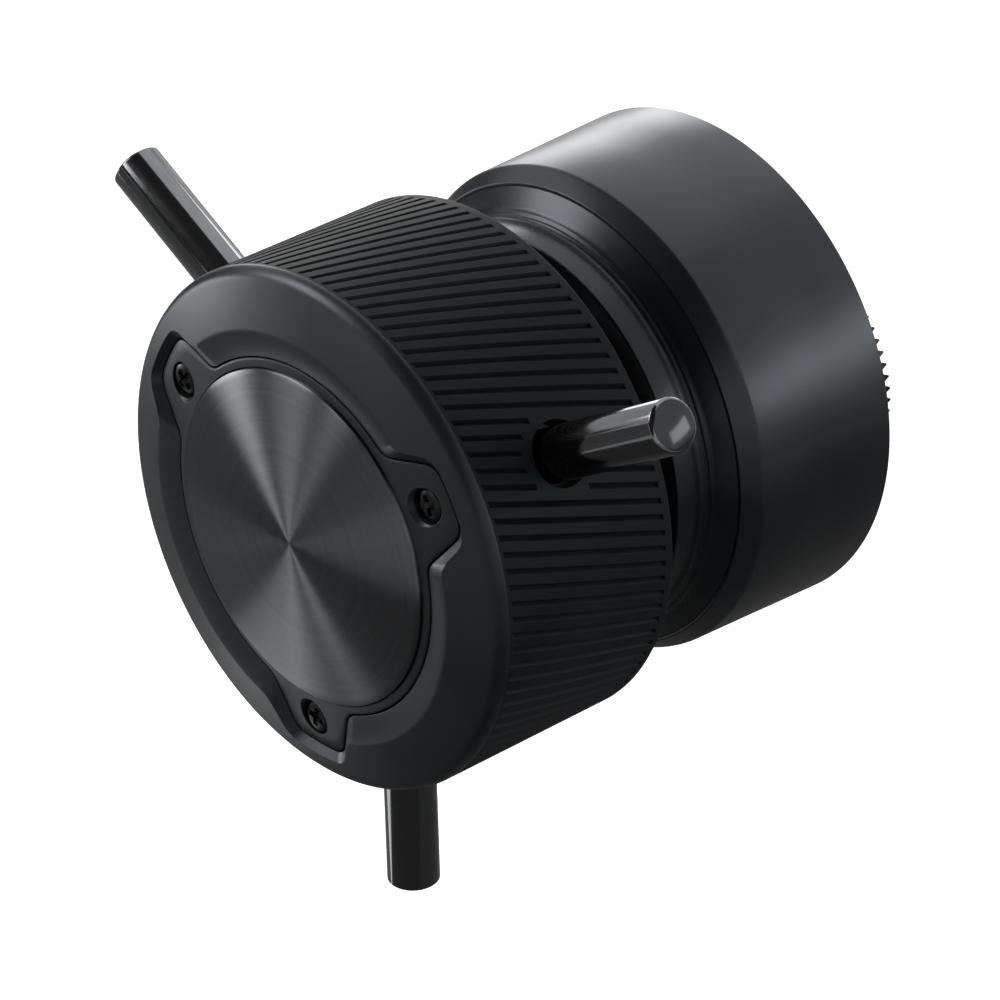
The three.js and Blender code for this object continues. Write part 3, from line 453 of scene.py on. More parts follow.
def drum(name, radius, rear, front, segments=64, spot=(0, 0), centre=AXIS):
    """A round bar along the shaft, centred on a spot beside it."""
    x, z = spot
    rings = [[(Vector((x, 0, z + centre)) + Vector((radius * math.cos(TURN * step / segments), -station,
                                                    radius * math.sin(TURN * step / segments)))) * MM
              for step in range(segments)] for station in (rear, front)]
    return lofted(name, rings)


def spot_at(radius, angle):
    return (radius * math.cos(angle), radius * math.sin(angle))


def arc_points(centre_radius, centre_station, radius, start, end, steps):
    """Points of a rounded corner in an outline, from one angle to another in degrees."""
    points = []
    for step in range(steps + 1):
        angle = math.radians(start + (end - start) * step / steps)
        points.append((centre_radius + radius * math.cos(angle), centre_station + radius * math.sin(angle)))
    return points


def bend(start, corner, end, steps):
    points = []
    for step in range(steps + 1):
        share = step / steps
        points.append(start.lerp(corner, share).lerp(corner.lerp(end, share), share))
    return points


def tabbed_outline(radius, tip_radius, tip_half, root_half, grow=0.0, tip_round=1.7, root_round=1.5):
    """Disc with three tapered tabs, as points round a full turn, at even spacing on each stretch."""
    base = radius + grow
    tip = tip_radius + grow
    tip_angle = math.asin((tip_half + grow) / tip)
    root_angle = math.asin((root_half + grow) / base)
    tip_arc = tip_angle - tip_round / tip
    base_arc = root_angle + root_round / base

    def polar(distance, angle):
        return Vector((distance * math.cos(angle), distance * math.sin(angle)))

    def along(first, second, length):
        return first.lerp(second, length / (second - first).length)

    outline = []
    for axis in SPOKE_ANGLES:
        low_root = polar(base, axis - root_angle)
        low_tip = polar(tip, axis - tip_angle)
        high_tip = polar(tip, axis + tip_angle)
        high_root = polar(base, axis + root_angle)
        outline += bend(polar(base, axis - base_arc), low_root, along(low_root, low_tip, root_round),
                        TAB_STEPS)
        outline += bend(along(low_tip, low_root, tip_round), low_tip, polar(tip, axis - tip_arc), TAB_STEPS)
        for step in range(1, TAB_STEPS):
            outline.append(polar(tip, axis - tip_arc + 2 * tip_arc * step / TAB_STEPS))
        outline += bend(polar(tip, axis + tip_arc), high_tip, along(high_tip, high_root, tip_round),
                        TAB_STEPS)
        outline += bend(along(high_root, high_tip, root_round), high_root, polar(base, axis + base_arc),
                        TAB_STEPS)
        sweep = TURN / 3 - 2 * base_arc
        for step in range(1, ARC_STEPS):
            outline.append(polar(base, axis + base_arc + sweep * step / ARC_STEPS))
    return outline


def plate_outline(grow=0.0):
    return tabbed_outline(PLATE_RADIUS, TAB_TIP, TAB_TIP_HALF, TAB_ROOT_HALF, grow)


def shaft_point(flat, station):
    return Vector((flat.x, -station, flat.y + AXIS)) * MM


# Materials


class Look:
    """A procedural material with a few shortcuts for its nodes."""

    def __init__(self, name, colour, metallic, roughness):
        self.material = bpy.data.materials.new(name)
        self.material.use_nodes = True
        self.nodes = self.material.node_tree.nodes
        self.links = self.material.node_tree.links
        self.shader = self.nodes["Principled BSDF"]
        self.shader.inputs["Base Color"].default_value = (*colour, 1)
        self.shader.inputs["Metallic"].default_value = metallic
        self.shader.inputs["Roughness"].default_value = roughness
        self.coords = self.nodes.new("ShaderNodeTexCoord").outputs["Object"]
        self.material.diffuse_color = (*colour, 1)

    def noise(self, scale, detail=4.0, rough=0.55, vector=None):
        node = self.nodes.new("ShaderNodeTexNoise")
        node.inputs["Scale"].default_value = scale
        node.inputs["Detail"].default_value = detail
        node.inputs["Roughness"].default_value = rough
        self.links.new(vector or self.coords, node.inputs["Vector"])
        return node.outputs["Fac"]

    def spread(self, source, low, high, start=0.3, end=0.7):
        node = self.nodes.new("ShaderNodeMapRange")
        node.inputs["From Min"].default_value = start
        node.inputs["From Max"].default_value = end
        node.inputs["To Min"].default_value = low
        node.inputs["To Max"].default_value = high
        self.links.new(source, node.inputs["Value"])
        return node.outputs["Result"]

    def tint(self, source, low, high, start=0.3, end=0.7):
        node = self.nodes.new("ShaderNodeMix")
        node.data_type = "RGBA"
        node.inputs["A"].default_value = (*low, 1)
        node.inputs["B"].default_value = (*high, 1)
        self.links.new(self.spread(source, 0, 1, start, end), node.inputs["Factor"])
        return node.outputs["Result"]

    def set(self, socket, source):
        self.links.new(source, self.shader.inputs[socket])

    def bump(self, height, strength, distance, edge=0.0):
        node = self.nodes.new("ShaderNodeBump")
        node.inputs["Strength"].default_value = strength
        node.inputs["Distance"].default_value = distance
        self.links.new(height, node.inputs["Height"])
        if edge:
            rounded = self.nodes.new("ShaderNodeBevel")
            rounded.samples = 4
            rounded.inputs["Radius"].default_value = edge
            self.links.new(rounded.outputs["Normal"], node.inputs["Normal"])
        self.links.new(node.outputs["Normal"], self.shader.inputs["Normal"])

    def scaled(self, source, factor):
        node = self.nodes.new("ShaderNodeMath")
        node.operation = "MULTIPLY"
        self.links.new(source, node.inputs[0])
        node.inputs[1].default_value = factor
        return node.outputs[0]

    def shaft_radius(self, centre=AXIS):
        """Distance from the shaft's line, in metres."""
        move = self.nodes.new("ShaderNodeVectorMath")
        move.operation = "MULTIPLY_ADD"
        move.inputs[1].default_value = (1, 0, 1)
        move.inputs[2].default_value = (0, 0, -centre * MM)
        self.links.new(self.coords, move.inputs[0])
        length = self.nodes.new("ShaderNodeVectorMath")
        length.operation = "LENGTH"
        self.links.new(move.outputs["Vector"], length.inputs[0])
        return length.outputs["Value"]

    def rings(self, scale, detail=6.0, centre=AXIS):
        """Noise that changes only with the distance from the shaft: fine turning lines."""
        pack = self.nodes.new("ShaderNodeCombineXYZ")
        self.links.new(self.shaft_radius(centre), pack.inputs["X"])
        return self.noise(scale, detail, 0.8, pack.outputs["Vector"])

    def stretched(self, factors, scale, detail=5.0):
        node = self.nodes.new("ShaderNodeVectorMath")
        node.operation = "MULTIPLY"
        node.inputs[1].default_value = factors
        self.links.new(self.coords, node.inputs[0])
        return self.noise(scale, detail, 0.7, node.outputs["Vector"])


def satin_black(name, low, high, rough_low, rough_high, grain=9000, edge=0.00012, specular=0.5):
    look = Look(name, low, 0.0, (rough_low + rough_high) / 2)
    look.shader.inputs["Specular IOR Level"].default_value = specular
    look.shader.inputs["Specular Tint"].default_value = SPECULAR_TINT
    broad = look.noise(90, 5)
    fine = look.noise(grain, 2)
    look.set("Base Color", look.tint(broad, low, high))
    look.set("Roughness", look.spread(broad, rough_low, rough_high))
    look.bump(fine, 0.12, 0.00003, edge)
    return look.material


def spun_metal(name):
    look = Look(name, (0.30, 0.31, 0.32), 1.0, 0.32)
    look.shader.inputs["Anisotropic"].default_value = 1.0
    look.shader.inputs["Anisotropic Rotation"].default_value = 0.25
    tangent = look.nodes.new("ShaderNodeTangent")
    tangent.direction_type = "RADIAL"
    tangent.axis = "Y"
    look.links.new(tangent.outputs["Tangent"], look.shader.inputs["Tangent"])
    lines = look.rings(14000, 3)
    broad = look.rings(900, 3)
    look.set("Base Color", look.tint(broad, (0.100, 0.104, 0.110), (0.135, 0.140, 0.147)))
    look.set("Roughness", look.spread(lines, 0.26, 0.34))
    look.bump(lines, 0.10, 0.00001)
    return look.material


def plain_metal(name, low, high, rough_low, rough_high, lines=3000, edge=0.0):
    look = Look(name, low, 1.0, (rough_low + rough_high) / 2)
    turning = look.rings(lines, 4)
    broad = look.noise(150, 4)
    look.set("Base Color", look.tint(broad, low, high))
    look.set("Roughness", look.spread(turning, rough_low, rough_high))
    look.bump(turning, 0.08, 0.00002, edge)
    return look.material


def polished(name):
    look = Look(name, (0.14, 0.143, 0.148), 1.0, 0.09)
    haze = look.noise(300, 5)
    polish = look.stretched((1, 14, 14), 260)
    look.set("Base Color", look.tint(haze, (0.125, 0.128, 0.133), (0.150, 0.154, 0.159)))
    look.set("Roughness", look.spread(polish, 0.08, 0.13))
    look.bump(polish, 0.02, 0.00001)
    return look.material


def dull(name, low, high, rough, grain=2500, strength=0.3, depth=0.0001):
    look = Look(name, low, 0.0, rough)
    fine = look.noise(grain, 4)
    look.set("Base Color", look.tint(look.noise(grain / 8, 4), low, high))
    look.set("Roughness", look.spread(fine, rough - 0.06, min(1.0, rough + 0.06)))
    look.bump(fine, strength, depth)
    return look.material


LOOKS = {
    "grip": satin_black("grip_black", (0.0052, 0.0058, 0.0064), (0.0078, 0.0086, 0.0094), 0.54, 0.62,
                        specular=0.12),
    "face": satin_black("face_black", (0.0060, 0.0067, 0.0074), (0.0088, 0.0096, 0.0104), 0.34, 0.40,
                        specular=0.35),
    "drum": satin_black("drum_black", (0.0036, 0.0041, 0.0046), (0.0056, 0.0062, 0.0069), 0.27, 0.34,
                        specular=0.45),
    "neck": satin_black("neck_black", (0.0036, 0.0041, 0.0046), (0.0056, 0.0062, 0.0069), 0.24, 0.30,
                        specular=0.3),
    "plate": satin_black("plate_black", (0.0060, 0.0067, 0.0074), (0.0090, 0.0098, 0.0106), 0.36, 0.44,
                         specular=0.3),
    "spun": spun_metal("spun_metal"),
    "rod": polished("polished_rod"),
    # The rods' domed ends: the same polished metal as the rods, with a far darker base colour as painted
    # shade standing in for the dark reflections they show
    "rod_end_painted_shade": plain_metal("rod_end_painted_shade", (0.034, 0.035, 0.037), (0.048, 0.049, 0.051), 0.11, 0.15, 900),
    "black_steel": plain_metal("black_steel", (0.016, 0.0165, 0.017), (0.026, 0.0265, 0.027), 0.26, 0.36,
                               edge=0.0001),
    "steel": plain_metal("turned_steel", (0.42, 0.43, 0.44), (0.50, 0.51, 0.52), 0.24, 0.36),
    "aluminium": plain_metal("turned_aluminium", (0.52, 0.53, 0.54), (0.60, 0.61, 0.62), 0.28, 0.40),
    "brass": plain_metal("turned_brass", (0.50, 0.34, 0.13), (0.60, 0.42, 0.18), 0.24, 0.36),
    "magnet": plain_metal("nickel_plate", (0.38, 0.37, 0.35), (0.46, 0.45, 0.43), 0.16, 0.24),
    "felt": dull("greased_felt", (0.10, 0.09, 0.075), (0.15, 0.135, 0.11), 0.9, 1800, 0.6, 0.0003),
    "rubber": dull("black_rubber", (0.012, 0.012, 0.012), (0.018, 0.018, 0.018), 0.7, 1500, 0.2),
    "board": dull("circuit_board", (0.012, 0.085, 0.040), (0.020, 0.115, 0.055), 0.42, 900, 0.1),
    "chip": dull("chip_black", (0.012, 0.012, 0.013), (0.018, 0.018, 0.019), 0.5, 3500, 0.15),
    "socket_tongue": dull("socket_tongue", (0.014, 0.014, 0.015), (0.020, 0.020, 0.021), 0.45),
}

# Which look each node has; a number at the end of a node's name is left off
NODE_LOOKS = {
    "hub_screw": "black_steel",
    "hub_set_screw": "black_steel",
    "shaft": "steel",
    "shaft_washer": "steel",
    "shaft_screw": "black_steel",
    "shaft_circlip": "black_steel",
    "bearing_circlip": "black_steel",
    "inner_spacer": "aluminium",
    "rear_bearing_inner": "steel",
    "front_bearing_inner": "steel",
    "rear_bearing_outer": "steel",
    "front_bearing_outer": "steel",
    "rear_bearing_balls": "brass",
    "front_bearing_balls": "brass",
    "wave_washer": "steel",
    "encoder_magnet": "magnet",
    "encoder_board": "board",
    "encoder_chip": "chip",
    "board_screw": "steel",
    "drag_ring": "felt",
    "rear_seal": "rubber",
    "threaded_insert": "brass",
    "rosette_screw": "black_steel",
    "rear_cover_screw": "black_steel",
    "lead_socket": "steel",
    "mount_rosette": "black_steel",
    "spoke_hub": "aluminium",
    "spoke": "rod",
    "plate_screw": "black_steel",
    "spun_disc": "spun",
    "front_plate": "plate",
    "focus_wheel": "grip",
    "body_shell": "drum",
    "neck_housing": "neck",
    "rear_cover": "drum",
}


def look_of(node):
    return NODE_LOOKS[node.rstrip("0123456789").rstrip("_")]


def dress_nodes():
    for name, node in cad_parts.items():
        material = LOOKS[look_of(name)]
        node.data.materials.clear()
        node.data.materials.append(material)


def give(piece, look):
    piece.data.materials.clear()
    piece.data.materials.append(LOOKS[look])
    return piece


def finish_piece(piece, body, nodes, look=None):
    if look:
        give(piece, look)
    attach(piece, body)
    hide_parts(*nodes)
    return piece


# The wheel


def fillet_centre():
    radius = WHEEL_RADIUS - WHEEL_FILLET
    reach = FACE_DOME - WHEEL_FILLET
    return radius, WHEEL_APEX - FACE_DOME + math.sqrt(reach * reach - radius * radius)


def wheel_profile():
    radius, station = fillet_centre()
    lean = math.degrees(math.asin(radius / (FACE_DOME - WHEEL_FILLET)))
    outline = [(RIM_REAR_INNER, WHEEL_REAR + RIM_CHAMFER), (RIM_REAR_INNER + RIM_CHAMFER, WHEEL_REAR),
               (WHEEL_RADIUS - RIM_REAR_LAND, WHEEL_REAR)]
    outline += arc_points(WHEEL_RADIUS - RIM_REAR_ROUND, WHEEL_REAR + RIM_REAR_ROUND, RIM_REAR_ROUND,
                          EDGE_START, 0, EDGE_STEPS)
    outline += arc_points(radius, station, WHEEL_FILLET, 0, 90 - lean, FILLET_STEPS)
    edge = outline[-1][0]
    for step in range(1, FACE_STEPS + 1):
        ring = edge + (FACE_INNER - edge) * step / FACE_STEPS
        outline.append((ring, face_station(ring)))
    outline += [(WHEEL_BORE, face_station(FACE_INNER)), (WHEEL_BORE, WEB_REAR), (RIM_INNER, WEB_REAR)]
    outline += arc_points(RIM_INNER, WEB_REAR - RIM_INNER_FILLET, RIM_INNER_FILLET, 90, 0, EDGE_STEPS)[1:]
    return outline


def groove_cutter(angle, rear, front, rear_slope, front_slope):
    """A V groove wound round the rim, with a slope at each end."""
    steps = max(2, round((front - rear) / GROOVE_STEP))
    reach = GROOVE_WIDTH / WHEEL_RADIUS
    rings = []
    for step in range(steps + 1):
        station = rear + (front - rear) * step / steps
        slope = -rear_slope if step == 0 else front_slope if step == steps else 0
        ring = []
        for across, out, shift in ((0, -GROOVE_DEPTH, -slope), (reach, GROOVE_DEPTH, slope),
                                   (-reach, GROOVE_DEPTH, slope)):
            place = station + shift
            wound = angle + (place - SPOKE_STATION) * GROOVE_LEAN / WHEEL_RADIUS
            ring.append(at(WHEEL_RADIUS + out, wound + across, place))
        rings.append(ring)
    return lofted("groove", rings)


def groove_cutters():
    """All the grooves, broken off round the rods' smooth zones."""
    cutters = []
    square = 1 + GROOVE_LEAN * GROOVE_LEAN
    sector = TURN / 3
    for index in range(GROOVES):
        away = TURN * index / GROOVES
        angle = SPOKE_ANGLES[0] + away
        aside = (away - sector * round(away / sector)) * WHEEL_RADIUS
        room = square * SMOOTH_ZONE * SMOOTH_ZONE - aside * aside
        if room > 0:
            middle = SPOKE_STATION - aside * GROOVE_LEAN / square
            half = math.sqrt(room) / square
            cutters.append(groove_cutter(angle, GROOVE_REAR, middle - half, REAR_SLOPE, BREAK_SLOPE))
            cutters.append(groove_cutter(angle, middle + half, GROOVE_FRONT, BREAK_SLOPE, FRONT_SLOPE))
        else:
            cutters.append(groove_cutter(angle, GROOVE_REAR, GROOVE_FRONT, REAR_SLOPE, FRONT_SLOPE))
    return joined("grooves", cutters)


def recess_cutter():
    low = plate_outline(PLATE_GAP)
    high = tabbed_outline(RECESS_RADIUS, RECESS_TAB_TIP, RECESS_TIP_HALF, RECESS_ROOT_HALF)
    floor = [shaft_point(point, RECESS_FLOOR) for point in low]
    lip = [shaft_point(point, plate_station(point.length) - RECESS_LIP_DROP) for point in low]
    brim = [shaft_point(point, face_station(point.length)) for point in high]
    past = [edge + (edge - inner) * RECESS_PAST_SHARE for inner, edge in zip(lip, brim)]
    above = [Vector((point.x, -(WHEEL_APEX + CUT_PAST) * MM, point.z)) for point in past]
    return lofted("recess", [floor, lip, past, above])


def build_wheel():
    wheel = turned("hand_wheel", wheel_profile(), RIM_STEPS, phase=SPOKE_ANGLES[0] + TURN / (2 * RIM_STEPS))
    rear, front = WEB_REAR - CUT_PAST, RECESS_FLOOR + CUT_PAST
    holes = [bar("hole", ROD_HOLE, *ROD_HOLE_REACH, angle, SPOKE_STATION, BORE_STEPS)
             for angle in SPOKE_ANGLES]
    holes += [drum("hole", SMALL_HOLE, rear, front, HOLE_STEPS, spot_at(PLATE_SCREW_CIRCLE, angle))
              for angle in SPOKE_ANGLES]
    holes += [drum("hole", LARGE_HOLE, rear, front, HOLE_STEPS, spot_at(HUB_SCREW_CIRCLE, angle))
              for angle in GAP_ANGLES]
    cut(wheel, [groove_cutters()])
    cut(wheel, [recess_cutter()] + holes)
    give(wheel, "grip")
    wheel.data.materials.append(LOOKS["face"])
    for face in wheel.data.polygons:
        if -face.center.y > FACE_REAR * MM:
            face.material_index = 1
    return finish_piece(wheel, "wheel", ["focus_wheel"])


def build_plate():
    outline = plate_outline()
    inner = plate_outline(-PLATE_EDGE)

    def ring(points, share, drop=0.0):
        placed = []
        for point in points:
            circle = point.normalized() * PLATE_SEAT
            mixed = point.lerp(circle, share)
            placed.append(shaft_point(mixed, plate_station(mixed.length) - drop))
        return placed

    def seat(distance, station):
        return [shaft_point(point.normalized() * distance, station) for point in inner]

    rings = [[shaft_point(point, PLATE_BOTTOM) for point in outline], ring(outline, 0, PLATE_EDGE_DROP),
             ring(plate_outline(-PLATE_EDGE_MIDDLE), 0, PLATE_EDGE_MIDDLE)]
    rings += [ring(inner, share) for share in (0, 0.25, 0.5, 0.75, 1)]
    rings += [seat(PLATE_SEAT, plate_station(PLATE_SEAT) - PLATE_SEAT_DEPTH),
              seat(PLATE_BORE, plate_station(PLATE_BORE) - PLATE_BORE_DEPTH), seat(PLATE_BORE, PLATE_BOTTOM)]
    plate = lofted("face_plate", rings, loops=True)
    top = plate_station(PLATE_SCREW_CIRCLE)
    counterbore = [(radius, top + rise) for radius, rise in COUNTERBORE]
    cutters = []
    for angle in SPOKE_ANGLES:
        spot = spot_at(PLATE_SCREW_CIRCLE, angle)
        cutters.append(moved(turned("hole", counterbore, SEAT_STEPS, centre=0), shift_to(spot)))
        cutters.append(drum("hole", SMALL_HOLE, PLATE_BOTTOM - PLATE_CUT_PAST, top, HOLE_STEPS, spot))
    cut(plate, cutters)
    return finish_piece(plate, "wheel", ["front_plate"], "plate")


def build_disc():
    rim = DISC_APEX - dome_fall(PLATE_DOME, DISC_RADIUS)
    rear = DISC_REAR_RADIUS
    top = DISC_TOP_RADIUS
    outline = [(0, DISC_APEX - DISC_DEPTH), (rear, DISC_APEX - dome_fall(PLATE_DOME, rear) - DISC_DEPTH)]
    outline += [(DISC_RADIUS - inset, rim - drop) for inset, drop in DISC_RIM]
    for step in range(DISC_STEPS):
        ring = top * (1 - step / DISC_STEPS)
        outline.append((ring, DISC_APEX - dome_fall(PLATE_DOME, ring)))
    outline.append((0, DISC_APEX))
    disc = turned("spun_face", outline, FINE_STEPS)
    return finish_piece(disc, "wheel", ["spun_disc"], "spun")


def cross_screw(name, sizes, top, spot, phase, facing=1, centre=AXIS):
    """A screw with a rounded head and a tapered cross recess; it points along the shaft."""
    head, thickness, shank, length, cross = sizes
    under = top - facing * thickness
    outline = [(head * share, top - facing * drop) for share, drop in SCREW_HEAD]
    outline += [(head, under), (shank, under), (shank, under - facing * length), (0, under - facing * length)]
    body = turned(name, outline, SCREW_STEPS, centre=0)
    slots = []
    for turn in (phase, phase + math.pi / 2):
        along = Vector((math.cos(turn), 0, math.sin(turn)))
        across = Vector((-math.sin(turn), 0, math.cos(turn)))
        rings = []
        for depth, long, wide in CROSS_TAPER + [(-thickness * CROSS_DEPTH_SHARE, *CROSS_BOTTOM)]:
            base = Vector((0, -(top + facing * depth), 0))
            rings.append([(base + along * (head * long * sx) + across * (cross * wide * sy)) * MM
                          for sx, sy in CORNERS])
        slots.append(lofted("slot", rings))
    cut(body, slots)
    return moved(body, shift_to(spot, centre))


def build_plate_screws():
    top = plate_station(PLATE_SCREW_CIRCLE) - PLATE_SCREW_DROP
    for index, angle in enumerate(SPOKE_ANGLES):
        screw = cross_screw(f"face_screw_{index + 1}", PLATE_SCREW, top, spot_at(PLATE_SCREW_CIRCLE, angle),
                            PLATE_SCREW_TURN + index * PLATE_SCREW_TURN_STEP)
        finish_piece(screw, "wheel", [f"plate_screw_{index + 1}"], "black_steel")


def build_spokes():
    rim, rise = ROD_DOME_RADIUS, ROD_DOME_RISE
    dome = (rim * rim + rise * rise) / (2 * rise)
    outline = list(ROD_FOOT)
    outline += [(radius, ROD_TIP - drop) for radius, drop in ROD_EDGE]
    outline.append((rim, ROD_TIP - rise))
    for step in range(1, ROD_DOME_STEPS + 1):
        ring = rim * (1 - step / ROD_DOME_STEPS)
        outline.append((ring, ROD_TIP - dome_fall(dome, ring)))
    for index, angle in enumerate(SPOKE_ANGLES):
        rod = turned(f"rod_{index + 1}", outline, ROUND_STEPS, centre=0)
        give(rod, "rod")
        # Faces past the dome's edge take the darkened copy of the rod metal: painted shade on the end cap
        rod.data.materials.append(LOOKS["rod_end_painted_shade"])
        for face in rod.data.polygons:
            face.material_index = 1 if -face.center.y > (ROD_TIP - rise) * MM else 0
        along = Vector((math.cos(angle), 0, math.sin(angle)))
        across = Vector((-math.sin(angle), 0, math.cos(angle)))
        turn = Matrix((across, -along, Vector((0, -1, 0)))).transposed().to_4x4()
        moved(rod, Matrix.Translation(Vector((0, -SPOKE_STATION, AXIS)) * MM) @ turn)
        finish_piece(rod, "wheel", [f"spoke_{index + 1}"])


def build_hub():
    hub = turned("rod_hub", HUB_OUTLINE, ROUND_STEPS)
    cutters = []
    for angle in SPOKE_ANGLES:
        cutters.append(bar("hole", HUB_ROD_HOLE, *HUB_ROD_REACH, angle, SPOKE_STATION, SEAT_STEPS))
        cutters.append(bar("hole", HUB_THREAD_HOLE, *HUB_THREAD_REACH, angle, SPOKE_STATION, PILLAR_STEPS))
    for angle in GAP_ANGLES:
        spot = spot_at(HUB_SCREW_CIRCLE, angle)
        cutters.append(drum("hole", LARGE_HOLE, *HUB_SCREW_REACH, HOLE_STEPS, spot))
    cutters.append(bar("hole", SET_SCREW_HOLE, *SET_SCREW_REACH, GAP_ANGLES[0], SPOKE_STATION, PILLAR_STEPS))
    cut(hub, cutters)
    return finish_piece(hub, "wheel", ["spoke_hub"], "aluminium")


# The drum


def build_shell():
    outline = [(radius, DRUM_REAR + rise) for radius, rise in SHELL_REAR]
    outline += arc_points(SHELL_ROUND_CENTRE, DRUM_REAR + SHELL_ROUND, SHELL_ROUND, EDGE_START, 0,
                          EDGE_STEPS)
    outline += SHELL_SIDE
    outline += [(radius, DRUM_SHOULDER + rise) for radius, rise in SHELL_SHOULDER]
    outline += [(radius, DRUM_FRONT + rise) for radius, rise in SHELL_LIP]
    outline += SHELL_INSIDE
    shell = turned("drum_shell", outline, FINE_STEPS, sharp=DRUM_SHARP)
    return finish_piece(shell, "body", ["body_shell"], "drum")


def build_neck():
    outline = NECK_COLLAR + NECK_RIDGE
    outline += arc_points(NECK_RADIUS - NECK_ROUND, NECK_FRONT - NECK_ROUND, NECK_ROUND, 0, 90,
                          EDGE_STEPS)
    outline.append((NECK_FRONT_INNER, NECK_FRONT))
    outline += NECK_TUBE
    neck = turned("neck", outline, FINE_STEPS, sharp=DRUM_SHARP)
    pillars = []
    holes = []
    for angle in COVER_SCREW_ANGLES:
        spot = spot_at(COVER_SCREW_CIRCLE, angle)
        pillars.append(drum("pillar", PILLAR_RADIUS, PILLAR_REAR, PILLAR_FRONT, PILLAR_STEPS, spot))
        holes.append(drum("hole", LARGE_HOLE, PILLAR_REAR - PILLAR_CAP, PILLAR_FRONT - PILLAR_CAP, HOLE_STEPS,
                          spot))
    combine(neck, pillars, "UNION", DRUM_SHARP)
    cut(neck, holes, DRUM_SHARP)
    return finish_piece(neck, "body", ["neck_housing"], "neck")


def capsule_points(width, height, spot, station, steps=CAPSULE_STEPS):
    half = width / 2 - height / 2
    points = []
    for side, start in ((1, -90), (-1, 90)):
        for step in range(steps + 1):
            angle = math.radians(start + 180 * step / steps)
            points.append(Vector((spot[0] + side * half + height / 2 * math.cos(angle), -station,
                                  spot[1] + AXIS + height / 2 * math.sin(angle))) * MM)
    return points


def build_cover():
    cover = turned("back_cover", COVER_OUTLINE, FINE_STEPS)
    boss = turned("boss", BOSS_OUTLINE, BOSS_STEPS, centre=0)
    posts = [drum("post", POST_RADIUS, *POST_REACH, POST_STEPS, spot_at(BOARD_SCREW_CIRCLE, angle))
             for angle in GAP_ANGLES]
    combine(cover, [boss] + posts, "UNION")
    cutters = [drum("hole", INSERT_HOLE, *INSERT_REACH, SEAT_STEPS, (0, 0), 0)]
    for angle in GAP_ANGLES:
        post_spot = spot_at(BOARD_SCREW_CIRCLE, angle)
        boss_spot = spot_at(ROSETTE_SCREW_CIRCLE, angle)
        cutters.append(drum("hole", THREAD_HOLE, *POST_HOLE_REACH, HOLE_STEPS, post_spot))
        cutters.append(drum("hole", SMALL_HOLE, *BOSS_SCREW_REACH, HOLE_STEPS, boss_spot, 0))
    for angle in COVER_SCREW_ANGLES:
        spot = spot_at(COVER_SCREW_CIRCLE, angle)
        cutters.append(drum("hole", COVER_HEAD_HOLE, COVER_REAR - COVER_PAST, COVER_REAR + COVER_HEAD_DEPTH,
                            SCREW_STEPS, spot))
        cutters.append(drum("hole", LARGE_HOLE, COVER_REAR, MOUTH_FRONT, HOLE_STEPS, spot))
    for spot in SOCKET_SPOTS:
        cutters.append(lofted("mouth", [capsule_points(*MOUTH_SIZE, spot, COVER_REAR - COVER_PAST),
                                        capsule_points(*MOUTH_SIZE, spot, MOUTH_FRONT)]))
    cut(cover, cutters)
    return finish_piece(cover, "body", ["rear_cover"], "drum")


def build_cover_screws():
    for index, angle in enumerate(COVER_SCREW_ANGLES):
        spot = spot_at(COVER_SCREW_CIRCLE, angle)
        screw = cross_screw(f"cover_screw_{index + 1}", COVER_SCREW, COVER_REAR, spot,
                            COVER_SCREW_TURN + COVER_SCREW_TURN_STEP * index, facing=-1)
        finish_piece(screw, "body", [f"rear_cover_screw_{index + 1}"], "black_steel")


def build_sockets():
    for index, spot in enumerate(SOCKET_SPOTS):
        rings = [capsule_points(width, height, spot, station) for width, height, station in SOCKET_RINGS]
        socket = lofted(f"socket_{index + 1}", rings)
        give(socket, "steel")
        tongue_rings = []
        for station, width, height in TONGUE_RINGS:
            tongue_rings.append([Vector((spot[0] + sx * width / 2, -station,
                                         spot[1] + AXIS + sz * height / 2)) * MM for sx, sz in CORNERS])
        tongue = give(lofted(f"socket_tongue_{index + 1}", tongue_rings), "socket_tongue")
        finish_piece(socket, "body", [f"lead_socket_{index + 1}"])
        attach(tongue, "body")


def rosette_ring(radius, station=None):
    """A ring of the rosette, at a station or at the teeth's own height."""
    points = []
    for step in range(TEETH * len(TOOTH_PLACES)):
        tooth, part = divmod(step, len(TOOTH_PLACES))
        angle = TURN * (tooth + TOOTH_PLACES[part]) / TEETH
        rise = (1 if part in TOOTH_CRESTS else -1) * (radius / ROSETTE_RADIUS) * TOOTH_RISE
        points.append(at(radius, angle, TOOTH_RISE - rise if station is None else station, 0))
    return points


def build_rosette():
    """Sixty radial teeth round a sunk land."""
    rings = [rosette_ring(radius, station) for radius, station in ROSETTE_RINGS]
    rosette = lofted("rosette", rings, loops=True, sharp=ROSETTE_SHARP)
    cutters = []
    for angle in GAP_ANGLES:
        spot = spot_at(ROSETTE_SCREW_CIRCLE, angle)
        cutters.append(drum("hole", ROSETTE_HEAD_HOLE, *ROSETTE_HEAD_REACH, SCREW_STEPS, spot, 0))
        cutters.append(drum("hole", SMALL_HOLE, *ROSETTE_SCREW_REACH, HOLE_STEPS, spot, 0))
    cut(rosette, cutters, ROSETTE_SHARP)
    finish_piece(rosette, "body", ["mount_rosette"], "black_steel")
    for index, angle in enumerate(GAP_ANGLES):
        screw = cross_screw(f"mount_screw_{index + 1}", ROSETTE_SCREW, ROSETTE_SCREW_TOP,
                            spot_at(ROSETTE_SCREW_CIRCLE, angle), ROSETTE_SCREW_TURN_STEP * index, facing=-1,
                            centre=0)
        finish_piece(screw, "body", [f"rosette_screw_{index + 1}"], "black_steel")
    insert = turned("bolt_insert", INSERT_OUTLINE, BORE_STEPS, centre=0)
    finish_piece(insert, "body", ["threaded_insert"], "brass")


# Camera, floor and light


